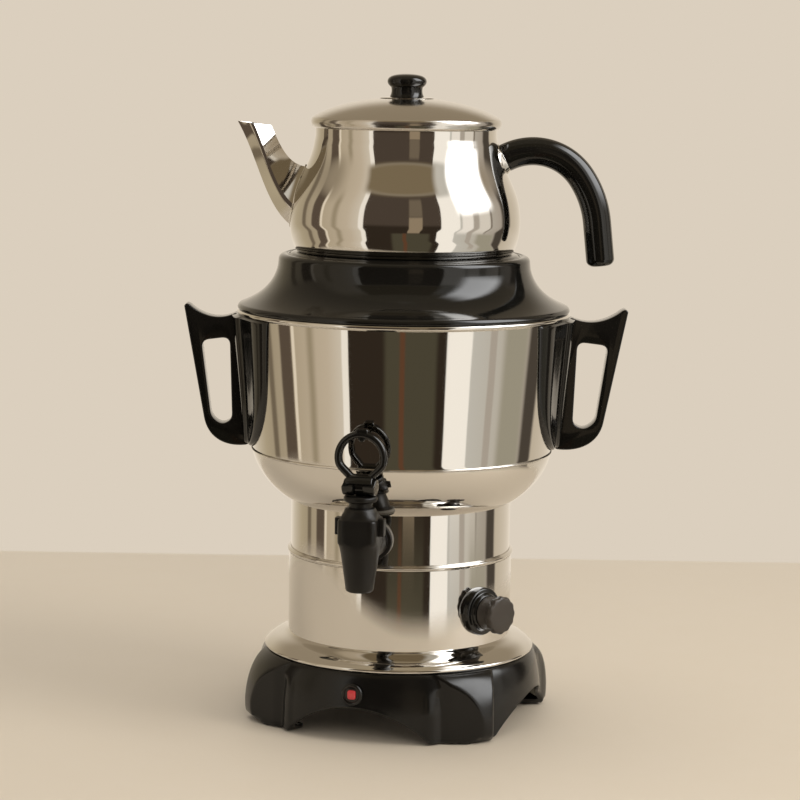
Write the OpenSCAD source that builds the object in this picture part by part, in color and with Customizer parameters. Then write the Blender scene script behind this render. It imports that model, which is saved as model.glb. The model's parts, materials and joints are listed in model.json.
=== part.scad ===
// Electric samovar in two tiers: a water boiler with a tap, and a teapot on the collar over it.
// +Z is up and the origin is on the axis at the floor. The front is -Y and the grips lie along X.
// Directions round the axis are counted from the front, and grow towards +X.

/* [Base] */
// Height of the flat top of the plastic base
base_h = 46; // [45.5:0.1:46.5]
// Radius of the base at its top edge
base_top_r = 90; // [89:0.5:91]
// Radius of the wall of the base near the floor, between the feet
base_r = 97; // [96:0.5:98]
// Wall thickness of the plastic base
base_t = 2.8; // [2.4:0.1:3]
// Distance from the axis to the outer face of a foot
foot_reach = 105; // [104:0.5:106]
// Width of the outer face of a foot
foot_w = 42; // [40:1:44]
// Height of the arch between two feet
arch_h = 23.5; // [21:0.5:24]
// Width of the arch at the floor
arch_w = 100; // [94:1:104]
// Direction of the indicator lamp, in the middle between two feet
base_turn = -18; // [-19:1:-17]

/* [Housing and tank] */
// Radius of the heater housing
housing_r = 75; // [74.8:0.1:75.2]
// Height of the top edge of the heater housing
housing_top = 110.4; // [110:0.2:111]
// Radius of the neck of the tank
neck_r = 73.7; // [73.5:0.1:73.8]
// Height of the top of the neck
neck_top = 146.7; // [146:0.1:147.5]
// Radius of the drum at its lower seam
drum_low_r = 100.2; // [99.8:0.1:100.4]
// Height of the lower seam of the drum
drum_low = 179.8; // [179:0.2:180.2]
// Radius of the drum under its rolled bead
drum_top_r = 109.5; // [109.2:0.1:109.7]
// Height of the top of the rolled bead
tank_h = 274; // [273.6:0.1:274.4]
// Thickness of the steel sheet
sheet = 0.8; // [0.7:0.1:0.9]

/* [Grips] */
// Thickness of a grip
grip_t = 15; // [13:0.5:16]
// Width of the left grip outside the drum, against the drawn outline
left_reach = 0.94; // [0.93:0.01:1]
// Width of the right grip outside the drum, against the drawn outline
right_reach = 1.03; // [0.97:0.01:1.04]
// Radius of the corners of the finger window
window_r = 4.5; // [3:0.5:5]
// How far the mounting shield stands off the drum
shield_t = 3.2; // [2.8:0.1:3.6]

/* [Collar and teapot] */
// Radius of the collar where it turns upright
collar_neck_r = 84.2; // [83.8:0.1:84.6]
// Height of the top of the collar
collar_top = 311; // [310.6:0.1:311.2]
// Wall thickness of the collar
collar_t = 2.5; // [2.2:0.1:2.8]
// Radius of the steam opening in the collar
steam_r = 60; // [59:0.5:61]
// Height of the underside of the teapot
pot_low = 312.2; // [312.2:0.1:312.6]
// Height of the rim of the teapot
pot_rim = 394; // [393.8:0.1:394.2]
// Outer radius of the teapot's rim
pot_rim_r = 60; // [59.8:0.1:60.2]
// Radius of the teapot's round handle
pot_grip_r = 9.5; // [9:0.1:10]
// Radius of a hole of the strainer
strainer_r = 1.5; // [1.2:0.1:1.8]

/* [Tap] */
// Direction of the tap
tap_turn = -13; // [-15:1:-11]
// Distance from the axis to the tap's outlet
tap_reach = 113; // [112:0.5:114]
// Height of the tap's outlet above the floor
outlet_h = 104.7; // [104:0.1:105.4]
// Radius of the bore of the outlet
outlet_r = 5.5; // [5:0.1:5.8]
// Height of the pin that the lever turns on
pin_h = 172; // [171.8:0.1:172.2]
// How far the lever tilts forwards, in degrees
tilt = 75; // [60:5:75]
// How far the tap's stem lifts at full tilt
lift = 4; // [3:0.5:4]

/* [Thermostat] */
// Direction of the thermostat knob
knob_turn = 45; // [43:1:47]
// Height of the thermostat knob
knob_h = 80.8; // [80:0.1:81.4]
// Radius of the head of the knob
knob_r = 12.6; // [12:0.1:13]

/* [Hidden] */
$fn = 72;

black = "#1e1d1a";
steel = "#c8b9a0";

// ---- curves and placing ----
function bez(p, n = 10) = [for (i = [0:n]) let (t = i / n, u = 1 - t)
  u * u * u * p[0] + 3 * u * u * t * p[1] + 3 * u * t * t * p[2] + t * t * t * p[3]];
function arc(c, r, from, to, n = 6) = [for (i = [0:n]) let (a = from + (to - from) * i / n)
  c + r * [cos(a), sin(a)]];
function back(p) = [for (i = [len(p) - 1:-1:0]) p[i]];
// The same outline, moved to its left by t: inwards on a profile that runs upwards.
function inset(p, t) = [for (i = [0:len(p) - 1])
  let (d = p[min(i + 1, len(p) - 1)] - p[max(i - 1, 0)]) p[i] + t * [-d[1], d[0]] / norm(d)];
function unit(v) = v / norm(v);
// The points of an arc of radius r that rounds the corner b between a and c.
function corner(a, b, c, r, n) =
  let (u = unit(a - b), v = unit(c - b), half = acos(u * v) / 2, mid = b + unit(u + v) * r / sin(half),
    from = b + u * r / tan(half) - mid, to = b + v * r / tan(half) - mid,
    a0 = atan2(from[1], from[0]), turn = (atan2(to[1], to[0]) - a0 + 540) % 360 - 180)
  arc(mid, r, a0, a0 + turn, n);
function rounded(p, r, n = 5) = [for (i = [0:len(p) - 1])
  each corner(p[(i + len(p) - 1) % len(p)], p[i], p[(i + 1) % len(p)], r, n)];

module at(angle) rotate([0, 0, angle]) children();
// Lays a module that stands along +Z down along -Y, from the distance `from` outwards.
module radial(z, from) translate([0, -from, z]) rotate([90, 0, 0]) children();
module ring(r_out, r_in, low, high) rotate_extrude() translate([r_in, low]) square([r_out - r_in, high - low]);
module spun(p) rotate_extrude() polygon(p);
module sheet_of(p, t = sheet) spun(concat(p, back(inset(p, t))));
module bar(w, d, low, high) translate([-w / 2, -d / 2, low]) cube([w, d, high - low]);
// A closed skin over rings of n points each.
module skin(points, n) {
  rings = len(points) / n - 1;
  polyhedron(points, concat([[for (k = [0:n - 1]) k]],
    [for (i = [0:rings - 1]) for (k = [0:n - 1]) for (half = [0, 1])
      let (a = i * n + k, b = i * n + (k + 1) % n) half == 0 ? [a, a + n, b] : [b, a + n, b + n]],
    [[for (k = [n - 1:-1:0]) rings * n + k]]));
}

// ---- base ----
arch_r = ((arch_w / 2) ^ 2 + arch_h ^ 2) / (2 * arch_h);
feet = [for (i = [0:3]) base_turn + 45 + 90 * i];
deck_t = 2.5;
pad_h = 1.2;
pad_r = 7;
pad_at = 94;
cover_low = 25.5;
cover_t = 1.5;
cover_r = 90;
screw_at = 72;
post_r = 4.5;
base_side = bez([[base_top_r, base_h], [base_top_r + 3, base_h - 2], [base_r - 2, 36], [base_r - 0.5, 20]], 8);
foot_side = bez([[base_top_r + 2, base_h - 1], [foot_reach - 5, 40], [foot_reach, 28], [foot_reach + 1, 14]]);

// One foot, less `less` all round, from the height `low` up.
module foot(less, low) intersection() {
  spun(concat([[0, base_h - 1 - less]], [for (p = foot_side) p - [less, less]],
    [[foot_reach + 1 - less, low + 4], [foot_reach - 2.5 - less, low], [0, low]]));
  translate([0, 0, low]) linear_extrude(base_h) {
    half = foot_w / 2 - less;
    reach = foot_reach - less;
    edge_r = 6;
    polygon([[-half - 4, -78], [half + 4, -78], [half, edge_r - reach], [-half, edge_r - reach]]);
    translate([edge_r - half, -reach]) square([2 * (half - edge_r), edge_r]);
    for (s = [-1, 1]) translate([s * (half - edge_r), edge_r - reach]) circle(edge_r);
  }
}

module arch(r, from, to) translate([0, 0, arch_h - arch_r]) radial(0, from) cylinder(r = r, h = to - from);

lamp_h = 32.7;
lamp_face = 95.8;
lamp_bore = 5;
inlet_turn = base_turn + 180;
inlet_h = 34.6;
inlet_face = 96;
inlet_body = [27, 18.6];

module base_shell() color(black) difference() {
  union() {
    difference() {
      union() {
        spun(concat([[0, base_h]], base_side, [[base_r, pad_h], [0, pad_h]]));
        for (a = feet) at(a) foot(0, pad_h);
      }
      spun(concat([[0, base_h - deck_t]], [for (p = base_side) [p[0] - base_t, min(p[1], base_h - deck_t)]],
        [[base_r - base_t, -1], [0, -1]]));
      for (a = feet) at(a) foot(base_t, pad_h + base_t);
      for (i = [0:3]) at(base_turn + 90 * i) arch(arch_r, 50, 120);
    }
    // The floor of each foot, which holds its pad.
    for (a = feet) at(a) intersection() {
      foot(0.5, pad_h);
      ring(foot_reach, 84, pad_h, pad_h + base_t);
    }
    // Posts for the cover, the collar of the centre hole, and flat seats for the lamp and the inlet.
    for (a = feet) at(a) translate([0, -screw_at, cover_low + cover_t])
      cylinder(r = post_r, h = base_h - deck_t - cover_low - cover_t);
    ring(14, 0, 38, base_h - deck_t);
    at(base_turn) radial(lamp_h, 88) cylinder(r = 8.4, h = lamp_face - 88);
    at(inlet_turn) radial(inlet_h, 86) bar(32, 21.6, 0, inlet_face - 86);
  }
  translate([0, 0, 30]) cylinder(r = 3.4, h = 20);
  for (a = feet) at(a) {
    translate([0, -screw_at, 26]) cylinder(r = 1.5, h = 12);
    translate([0, -pad_at, 0]) cylinder(r = pad_r, h = pad_h + 1.6);
  }
  at(base_turn) radial(lamp_h, 80) cylinder(r = lamp_bore, h = 20);
  at(inlet_turn) radial(inlet_h, 76) bar(inlet_body[0], inlet_body[1], 0, 24);
  // Flat seats cut into the curved wall.
  at(base_turn) radial(lamp_h, lamp_face) cylinder(r = 8.4, h = 10);
  at(inlet_turn) radial(inlet_h, inlet_face) bar(32, 21.6, 0, 10);
  // Wire holes in the deck.
  for (h = [lead_hole[0], terminal[1]]) translate([h[0], h[1], 40]) cylinder(r = 3, h = 10);
}

module bottom_cover() color("#55524c") difference() {
  translate([0, 0, cover_low]) cylinder(r = cover_r, h = cover_t);
  for (a = feet) at(a) translate([0, -screw_at, 20]) cylinder(r = 1.8, h = 10);
  for (s = [-1, 1]) for (i = [-4:4]) translate([i * 9 - 1.5, s * 34 - 14, 20]) cube([3, 28, 10]);
  // Notches round the seats of the lamp and the inlet.
  at(base_turn) translate([-9, -cover_r - 5, 20]) cube([18, 7.5, 10]);
  at(inlet_turn) translate([-16.5, -cover_r - 5, 20]) cube([33, 19, 10]);
}

module foot_pads() color("#2a2927") for (a = feet) at(a) translate([0, -pad_at, 0])
  cylinder(r = pad_r, h = pad_h + 1.6);

module screw(r, head_r, length, head_h) {
  cylinder(r = r, h = length);
  translate([0, 0, -head_h]) difference() {
    cylinder(r = head_r, h = head_h);
    bar(head_r * 1.3, 0.9, -1, head_h * 0.4);
    bar(0.9, head_r * 1.3, -1, head_h * 0.4);
  }
}

module cover_screws() color("#b8b4aa") for (a = feet) at(a) translate([0, -screw_at, cover_low])
  screw(1.5, 3.2, 11, 2);

// ---- steel flange round the foot of the housing ----
flange_top = 57.5;
roll_r = 1.5;
flange_edge = base_top_r - 0.7;
// One outline of the sheet: its spigot inside the housing, the flare and the rolled edge.
module trim_flange() color(steel) {
  inner = housing_r - sheet;
  roll = [flange_edge, base_h + roll_r];
  top = bez([[housing_r, flange_top], [housing_r + 2.5, 54.5], [84, 55.2], roll + roll_r * [cos(60), sin(60)]]);
  spun(concat([[inner - sheet, flange_top + 5], [inner, flange_top + 5], [inner, flange_top]], top,
    arc(roll, roll_r, 50, -200, 14), back([for (i = [0:9]) top[i] - [0, sheet]]),
    [[inner - sheet, flange_top - sheet]]));
}

// ---- indicator lamp ----
bezel_t = 1.8;
lens = [6.1, 6.5];
module indicator_bezel() color(black) at(base_turn) radial(lamp_h, lamp_face) difference() {
  union() {
    rotate_extrude() polygon([[0, 0], [7.2, 0], [7.2, 0.8], [6.2, bezel_t], [0, bezel_t]]);
    translate([0, 0, -9]) cylinder(r = lamp_bore, h = 9);
  }
  bar(lens[0], lens[1], -10, 10);
}
module indicator_lens() color("#c8383a") at(base_turn) radial(lamp_h, lamp_face)
  translate([0, 0, -5]) linear_extrude(5 + bezel_t + 0.6)
    polygon(rounded([[-lens[0], -lens[1]] / 2, [lens[0], -lens[1]] / 2, lens / 2, [-lens[0], lens[1]] / 2], 1.2));
module neon_lamp() color("#e8a070") at(base_turn) radial(lamp_h, lamp_face - 19) {
  cylinder(r = 2.4, h = 12);
  for (s = [-1, 1]) translate([s, 0, -6]) cylinder(r = 0.4, h = 6);
}

// ---- three-pin inlet in the back wall ----
cavity = [24, 15.6];
pins = [[-7, -1], [7, -1], [0, 3]];
pin_size = [2, 4];
module power_inlet() color(black) at(inlet_turn) radial(inlet_h, inlet_face) difference() {
  union() {
    bar(31, 21, 0, 2);
    bar(inlet_body[0], inlet_body[1], -19, 0);
  }
  bar(cavity[0], cavity[1], -15, 3);
  for (p = pins) translate([p[0], p[1], 0]) bar(pin_size[0], pin_size[1], -20, 0);
}
module inlet_pins() color("#cfc9b8") at(inlet_turn) radial(inlet_h, inlet_face)
  for (p = pins) translate([p[0], p[1], 0]) {
    bar(pin_size[0], pin_size[1], -19, -1);
    bar(0.8, pin_size[1], -25, -19);
  }

// ---- terminals and wires under the deck ----
block_at = [36, 28];
block = [34, 14, 11];
block_low = base_h - deck_t - block[2];
module terminal_block() color("#e6e0d0") translate([block_at[0], block_at[1], 0]) difference() {
  bar(block[0], block[1], block_low, block_low + block[2]);
  for (i = [-1:1]) translate([i * 10, 0, block_low - 1]) cylinder(r = 2, h = 5);
}
// Rings of a wire through the points p, mitred at each bend. `ring` holds the corners round p[i - 1].
function wire_rings(p, ring, i = 1) = let (along = unit(p[i] - p[i - 1])) i == len(p) - 1
  ? [for (v = ring) p[i] + v]
  : let (next = unit(p[i + 1] - p[i]), mitre = unit(along + next),
      bent = [for (v = ring) v - along * (v * mitre) / (along * mitre)])
    concat([for (v = bent) p[i] + v], wire_rings(p, [for (v = bent) v - next * (v * next)], i + 1));
wire_sides = 8;
module wire(p, r) {
  along = unit(p[1] - p[0]);
  side = unit(cross(along, abs(along[2]) < 0.9 ? [0, 0, 1] : [1, 0, 0]));
  ring = [for (k = [0:wire_sides - 1]) let (a = 360 * k / wire_sides)
    r * (side * cos(a) - cross(along, side) * sin(a))];
  skin(concat([for (v = ring) p[0] + v], wire_rings(p, ring)), wire_sides);
}
wire_r = 1.3;
wire_low = 31;
side_h = 38;
// Where the cold ends of the heating element turn down, as angles from +X.
cold_ends = [102, 138];
cold_low = 96;
element_r = 48;
lead_hole = [for (a = cold_ends) element_r * [cos(a), sin(a)]];
function turned(p, a) = [p[0] * cos(a) - p[1] * sin(a), p[0] * sin(a) + p[1] * cos(a)];
// Under the thermostat's two terminals.
terminal = [for (s = [-1, 1]) turned([9 * s, -43], knob_turn)];
function up(p, z) = [p[0], p[1], z];
module inner_wiring() {
  front = [for (s = [1, -1]) block_at + [10 * s, -block[1] / 2]];
  rear = [for (s = [1, -1]) block_at + [10 * s, block[1] / 2]];
  for (i = [0, 1]) color(["#8a5a3a", "#3f6ea8"][i]) {
    from = turned([14 * i - 7, 25 - inlet_face], inlet_turn);
    bend = turned([14 * i - 7, 32 - inlet_face], inlet_turn);
    wire([up(from, inlet_h - 1), up(bend, inlet_h - 1), up(rear[i] + [0, 8], side_h),
      up(rear[i], side_h)], wire_r);
  }
  color("#3f6ea8") wire([up(front[1], side_h), up(front[1] - [0, 7], side_h), up(front[1] - [0, 7], wire_low),
    up(lead_hole[0], wire_low), up(lead_hole[0], cold_low)], wire_r);
  color("#8a5a3a") {
    wire([up(front[0], side_h), up(front[0] - [0, 7], side_h), up(front[0] - [0, 7], wire_low),
      up(terminal[1], wire_low), up(terminal[1], knob_h - 3)], wire_r);
    wire([up(terminal[0], knob_h + 3), up(terminal[0], knob_h + 8), [-25, -25, knob_h + 8],
      up(lead_hole[1], knob_h + 8), up(lead_hole[1], cold_low)], wire_r);
  }
}

// ---- heater housing and what is in it ----
bush_r = 4.8;
shaft_r = 3;
shield_h = 93;
stud_r = 3;
element_bar = 4;
bulb_at = 37;
floor_low = 113;
floor_t = 3.5;

module heater_housing() color(steel) difference() {
  ring(housing_r, housing_r - sheet, flange_top, housing_top);
  at(knob_turn) radial(knob_h, 60) cylinder(r = bush_r + 0.2, h = 30);
}
module seam_ring() color(steel) rotate_extrude() {
  translate([neck_r - 1.6, housing_top]) square([housing_r - neck_r + 1.6, floor_low - housing_top]);
  translate([neck_r, housing_top]) square([housing_r - neck_r, 3.6]);
  translate([housing_r - 0.1, housing_top + 1.9]) circle(1.1);
}
module heat_shield() color("#c9c7c0") difference() {
  union() {
    ring(70, 0, shield_h, shield_h + 0.8);
    ring(70.6, 69.8, shield_h, shield_h + 6);
  }
  translate([0, 0, 90]) cylinder(r = stud_r + 0.2, h = 10);
  for (h = lead_hole) translate([h[0], h[1], 90]) cylinder(r = 3.5, h = 10);
  at(knob_turn) translate([0, -bulb_at, 90]) cylinder(r = 3, h = 10);
}
module shield_spacer() color("#b8b4aa") ring(stud_r + 2.2, stud_r + 0.1, base_h, shield_h);
module centre_stud() color("#b8b4aa") translate([0, 0, 29]) cylinder(r = stud_r, h = floor_low - 29);
washer_low = 36.5;
module stud_washer() color("#b8b4aa") ring(9, stud_r + 0.2, washer_low, 38);
module stud_nut() color("#b8b4aa") difference() {
  translate([0, 0, washer_low - 5]) cylinder(r = 5.8, h = 5, $fn = 6);
  translate([0, 0, 20]) cylinder(r = stud_r, h = 30);
}
module heating_element() color("#8c8578") {
  rotate([0, 0, cold_ends[1]]) rotate_extrude(angle = 360 + cold_ends[0] - cold_ends[1])
    translate([element_r, floor_low - element_bar]) circle(element_bar);
  // Cold ends, which turn down to their leads.
  for (a = cold_ends) rotate([0, 0, a]) translate([element_r, 0, 0]) {
    translate([0, 0, floor_low - element_bar]) sphere(element_bar);
    translate([0, 0, cold_low]) cylinder(r = element_bar, h = floor_low - element_bar - cold_low);
  }
}
module tank_floor() color("#b9b5ab") translate([0, 0, floor_low]) cylinder(r = neck_r - sheet, h = floor_t);
module thermal_cutout() color("#d9d2c0") at(30) translate([0, -22, floor_low]) {
  translate([0, 0, -8]) cylinder(r = 8, h = 8);
  for (s = [-1, 1]) translate([s * 5, 0, 0]) bar(0.8, 5, -14, -8);
}
body_face = 64;
module thermostat_body() color("#cfc8b6") at(knob_turn) radial(knob_h, body_face) {
  difference() {
    union() {
      bar(32, 21, -18, 0);
      cylinder(r = bush_r, h = 14.6);
    }
    translate([0, 0, -10]) cylinder(r = shaft_r + 0.06, h = 30);
  }
  for (s = [-1, 0, 1]) translate([s * 9, 0, 0]) bar(0.8, 6, -24, -18);
}
shaft_out = 91;
module thermostat_shaft() color("#b8b4aa") at(knob_turn) radial(knob_h, body_face - 8)
  cylinder(r = shaft_r, h = shaft_out - body_face + 8);
escutcheon = 82;
module knob_escutcheon() color(black) at(knob_turn) difference() {
  radial(knob_h, 70) rotate_extrude() polygon([[0, 0], [15.8, 0], [15.8, 8], [15.2, 9.2], [12.4, 9.4],
    [12, 11.2], [11.2, 12], [0, 12]]);
  cylinder(r = housing_r, h = 200, center = true);
  radial(knob_h, 60) cylinder(r = bush_r, h = 30);
  radial(knob_h, body_face + 14.6) cylinder(r = 8, h = escutcheon - body_face - 14.4);
}
module thermostat_knob() color("#3a342e") at(knob_turn) radial(knob_h, escutcheon + 0.4) difference() {
  union() {
    spun([[0, 0], [10.8, 0], [10.2, 1.6], [8.6, 3.2], [8.8, 4.2], [knob_r - 1.2, 4.6], [knob_r - 0.4, 5.6],
      [knob_r - 0.4, 12], [knob_r - 1.6, 13.2], [0, 13.4]]);
    // Finger lobes round the head.
    for (i = [0:11]) rotate([0, 0, 30 * i]) translate([knob_r - 2.5, 0, 5.2]) cylinder(r = 2.6, h = 7.2);
  }
  translate([0, 0, -1]) cylinder(r = shaft_r, h = shaft_out - escutcheon + 0.6);
}
// Sensing bulb under the tank floor, and its thin tube down to the thermostat.
module capillary_bulb() color("#b87745") at(knob_turn) {
  translate([14, -bulb_at, floor_low - 3]) rotate([0, -90, 0]) cylinder(r = 3, h = 28);
  translate([0, -bulb_at, knob_h + 11.3]) {
    cylinder(r = 0.8, h = floor_low - 4 - knob_h - 11.3);
    sphere(0.95);
    rotate([90, 0, 0]) cylinder(r = 0.8, h = 15);
  }
}

// ---- tank ----
shank_r = 8;
shank_h = 131;
function drum_r(z) = drum_low_r + (drum_top_r - drum_low_r) * (z - drum_low) / (tank_h - 3 - drum_low);
slope = atan((drum_top_r - drum_low_r) / (tank_h - 3 - drum_low));
grip_screw_h = [196, 257];
grip_screw_r = 2.5;
// Puts its children on the drum's wall at each grip screw, with +Z along the wall's normal.
module grip_screws_at(sides) for (s = sides) for (z = grip_screw_h)
  rotate([0, 0, 90 - 90 * s]) translate([drum_r(z), 0, z]) rotate([0, 90 + slope, 0]) children();

module tank_neck() color(steel) difference() {
  ring(neck_r, neck_r - sheet, floor_low, neck_top);
  at(tap_turn) radial(shank_h, 60) cylinder(r = shank_r, h = 30);
}
bowl_side = bez([[neck_r, neck_top], [83, 151], [97, 163.5], [drum_low_r, drum_low - 0.16]], 12);
module tank_bowl() color(steel) sheet_of(bowl_side);
bead_r = 1.6;
module tank_drum() color(steel) difference() {
  rotate_extrude() {
    polygon([[drum_low_r, drum_low], [drum_r(tank_h - 1), tank_h - 1], [drum_r(tank_h - 1) - sheet, tank_h - 1],
      [drum_low_r - sheet, drum_low]]);
    translate([drum_top_r - 0.1, tank_h - bead_r]) circle(bead_r);
    translate([drum_low_r + 0.2, drum_low + 0.8]) circle(0.8);
  }
  grip_screws_at([-1, 1]) translate([0, 0, -5]) cylinder(r = grip_screw_r, h = 10);
}

// ---- grips on the tank ----
tip = [148.6, 276.3];
window = [[116, 254.4], [136.2, 252], [129, 200.4], [121.4, 195.2], [114, 199]];
grip_outline = concat(
  bez([[101.5, drum_low + 0.3], [118, drum_low + 0.2], [131, 185.5], [134, 200]], 8),
  arc(tip - [2.2, 2], 2, 10, 100, 4),
  bez([tip - [4, 0.6], [136, 268.4], [124, 265], [112.5, 270.3]], 8), [[101.5, 270.3]]);
shield_outline = bez([[0, drum_low + 1.4], [46, 181], [46, 225], [60, tank_h - 3.6]], 10);
// The outline, with everything outside the drum's bead drawn k times as wide.
function widened(p, k) = [for (q = p) [q[0] + max(q[0] - drum_top_r, 0) * (k - 1), q[1]]];
module grip(k) color(black) difference() {
  union() {
    rotate([90, 0, 0]) translate([0, 0, -grip_t / 2]) linear_extrude(grip_t) difference() {
      polygon(widened(grip_outline, k));
      polygon(rounded(widened(window, k), window_r));
    }
    // The shield that hugs the drum: pointed below, wide above, thicker near the grip.
    intersection() {
      spun([[90, drum_low], [drum_r(drum_low) + shield_t, drum_low],
        [drum_r(tank_h - 3.4) + shield_t, tank_h - 3.4], [90, tank_h - 3.4]]);
      rotate([90, 0, 90]) linear_extrude(130)
        polygon(concat(shield_outline, [for (p = back(shield_outline)) [-p[0], p[1]]]));
    }
    intersection() {
      spun([[90, drum_low], [drum_r(drum_low) + 5.4, drum_low],
        [drum_r(tank_h - 3.4) + 5.4, tank_h - 3.4], [90, tank_h - 3.4]]);
      rotate([90, 0, 90]) linear_extrude(130)
        polygon(concat([for (p = shield_outline) [p[0] * 0.42, p[1]]],
          [for (p = back(shield_outline)) [-p[0] * 0.42, p[1]]]));
    }
  }
  spun([[0, drum_low - 5], [drum_r(drum_low - 5), drum_low - 5], [drum_r(tank_h), tank_h], [0, tank_h]]);
  ring(drum_low_r + 1.4, 90, drum_low - 5, drum_low + 1.8);
  grip_screws_at([1]) translate([0, 0, -1]) cylinder(r = grip_screw_r, h = 9);
}
module left_grip() mirror([1, 0, 0]) grip(left_reach);
module right_grip() grip(right_reach);
seat_in = 2.4;
module grip_screws() color("#c9c7c0") grip_screws_at([-1, 1]) translate([0, 0, -seat_in])
  screw(grip_screw_r, 5, seat_in + 7.5, 2.4);
// Flat seals under the screw heads, whose rims touch the hollow side of the wall.
module grip_washers() color("#d8d4ca") grip_screws_at([-1, 1]) ring(6.5, grip_screw_r, -seat_in, -sheet - 0.2);

// ---- collar ----
spigot_r = 106.2;
spigot_low = 264;
flare = bez([[107.5, 278.4], [94.2, 283.8], [86.4, 292], [collar_neck_r, 303]]);
shoulder_r = 4;
ledge = 309;
module collar() color(black) spun(concat(
  [[110.4, tank_h], [110.8, tank_h + 1.4], [110.2, tank_h + 2.8]], flare,
  arc([collar_neck_r - 0.4 - shoulder_r, collar_top - shoulder_r], shoulder_r, 0, 90),
  [[76.6, collar_top], [76.6, ledge], [steam_r, ledge], [steam_r, ledge - collar_t],
    [collar_neck_r - 5, ledge - collar_t]],
  back([for (p = flare) [p[0] - collar_t, p[1] - 1.8]]),
  [[spigot_r - collar_t, tank_h], [spigot_r - collar_t, spigot_low], [spigot_r, spigot_low], [spigot_r, tank_h]]));
module collar_seal() color("#8f8c86") ring(spigot_r + 1, spigot_r, tank_h - 5.4, tank_h - 4);
module teapot_seat_ring() color(black) spun([[steam_r - 0.4, ledge], [76, ledge], [76.4, ledge + 1.4],
  [75.6, ledge + 2.2], [74.2, pot_low - 0.4], [73, pot_low], [steam_r - 0.4, pot_low]]);

// ---- tap ----
// All of it stands in a frame with the outlet's axis on z and the shank along +Y.
module tap_frame() at(tap_turn) translate([0, -tap_reach, 0]) children();
seat_h = 120;
chamber_r = 8.2;
ceiling = 150;
block_w = 25;
body_top = 158.6;
flange_out = 80;
module shank(r, from, to) translate([0, tap_reach, 0]) radial(shank_h, from) cylinder(r = r, h = to - from);
module tap_body() color(black) tap_frame() difference() {
  union() {
    spun([[0, outlet_h], [7.6, outlet_h], [8.8, outlet_h + 1.6], [9.6, 118], [11.2, 129], [12.3, 136], [12.3, 140],
      [0, 140]]);
    translate([0, 0, 136]) linear_extrude(16)
      polygon(rounded([[-1, -1], [1, -1], [1, 1], [-1, 1]] * block_w / 2, 4));
    spun([[0, 152], [12.2, 152], [9.4, body_top], [0, body_top]]);
    for (s = [-1, 1]) translate([s * (block_w / 2 + 1), 0, 0]) bar(5, 7, 141, 152);
    shank(shank_r, 62, tap_reach);
    shank(12.5, 76.4, flange_out);
    shank(10, flange_out, 92);
  }
  translate([0, 0, 100]) cylinder(r = outlet_r, h = 25);
  translate([0, 0, seat_h]) cylinder(r = chamber_r, h = ceiling - seat_h);
  translate([0, 0, ceiling - 1]) cylinder(r = 7.5, h = 20);
  shank(5, 60, tap_reach);
}
module tap_bonnet() color(black) tap_frame() difference() {
  spun([[0, ceiling], [7.5, ceiling], [7.5, 162], [9.6, 162.4], [10.8, 163.4], [10.8, 165.4], [9.8, 166.5],
    [0, 166.5]]);
  translate([0, 0, 140]) cylinder(r = stem_r + 0.06, h = 40);
}
stem_r = 2.5;
tang_w = 5.6;
pin_r = 1.5;
module tap_stem() color("#b8b4aa") tap_frame() difference() {
  union() {
    translate([0, 0, seat_h + 2]) cylinder(r = stem_r, h = 166.8 - seat_h - 2);
    translate([0, 0, seat_h + 7]) cylinder(r = 7, h = 1);
    translate([0, 0, pin_h]) rotate([0, 90, 0]) cylinder(r = 3.4, h = tang_w, center = true);
    bar(tang_w, 5, 166.8, pin_h);
  }
  translate([0, 0, pin_h]) rotate([0, 90, 0]) cylinder(r = pin_r, h = 20, center = true);
}
module tap_seat_cup() color("#b9b2a2") tap_frame() difference() {
  spun([[0, seat_h], [7, seat_h], [7, seat_h + 3], [5.4, seat_h + 7], [0, seat_h + 7]]);
  translate([0, 0, seat_h + 2]) cylinder(r = stem_r, h = 10);
}
// Return spring: a wound wire between the flange of the stem and the bonnet.
coil_r = 5.4;
coil_wire = 0.6;
coil_turns = 6;
module tap_spring() color("#b8b4aa") tap_frame() {
  low = seat_h + 8 + coil_wire;
  high = ceiling - coil_wire;
  sides = 6;
  per_turn = 12;
  steps = coil_turns * per_turn;
  skin([for (i = [0:steps]) let (a = 360 * i / per_turn) for (k = [0:sides - 1])
    let (b = 360 * k / sides, r = coil_r + coil_wire * cos(b))
    [r * cos(a), r * sin(a), low + (high - low) * i / steps + coil_wire * sin(b)]], sides);
}
// The lever's cam holds the pin up by cam_low, and by `lift` more at full tilt, in even steps.
cam_gap = 0.3;
cam_low = pin_h - 166.5 - cam_gap;
cam_rate = lift / (tilt * PI / 180);
hub_w = 21;
loop_h = 18.5;
loop_r = 17;
loop_hole = 12;
loop_t = 6;
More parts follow.
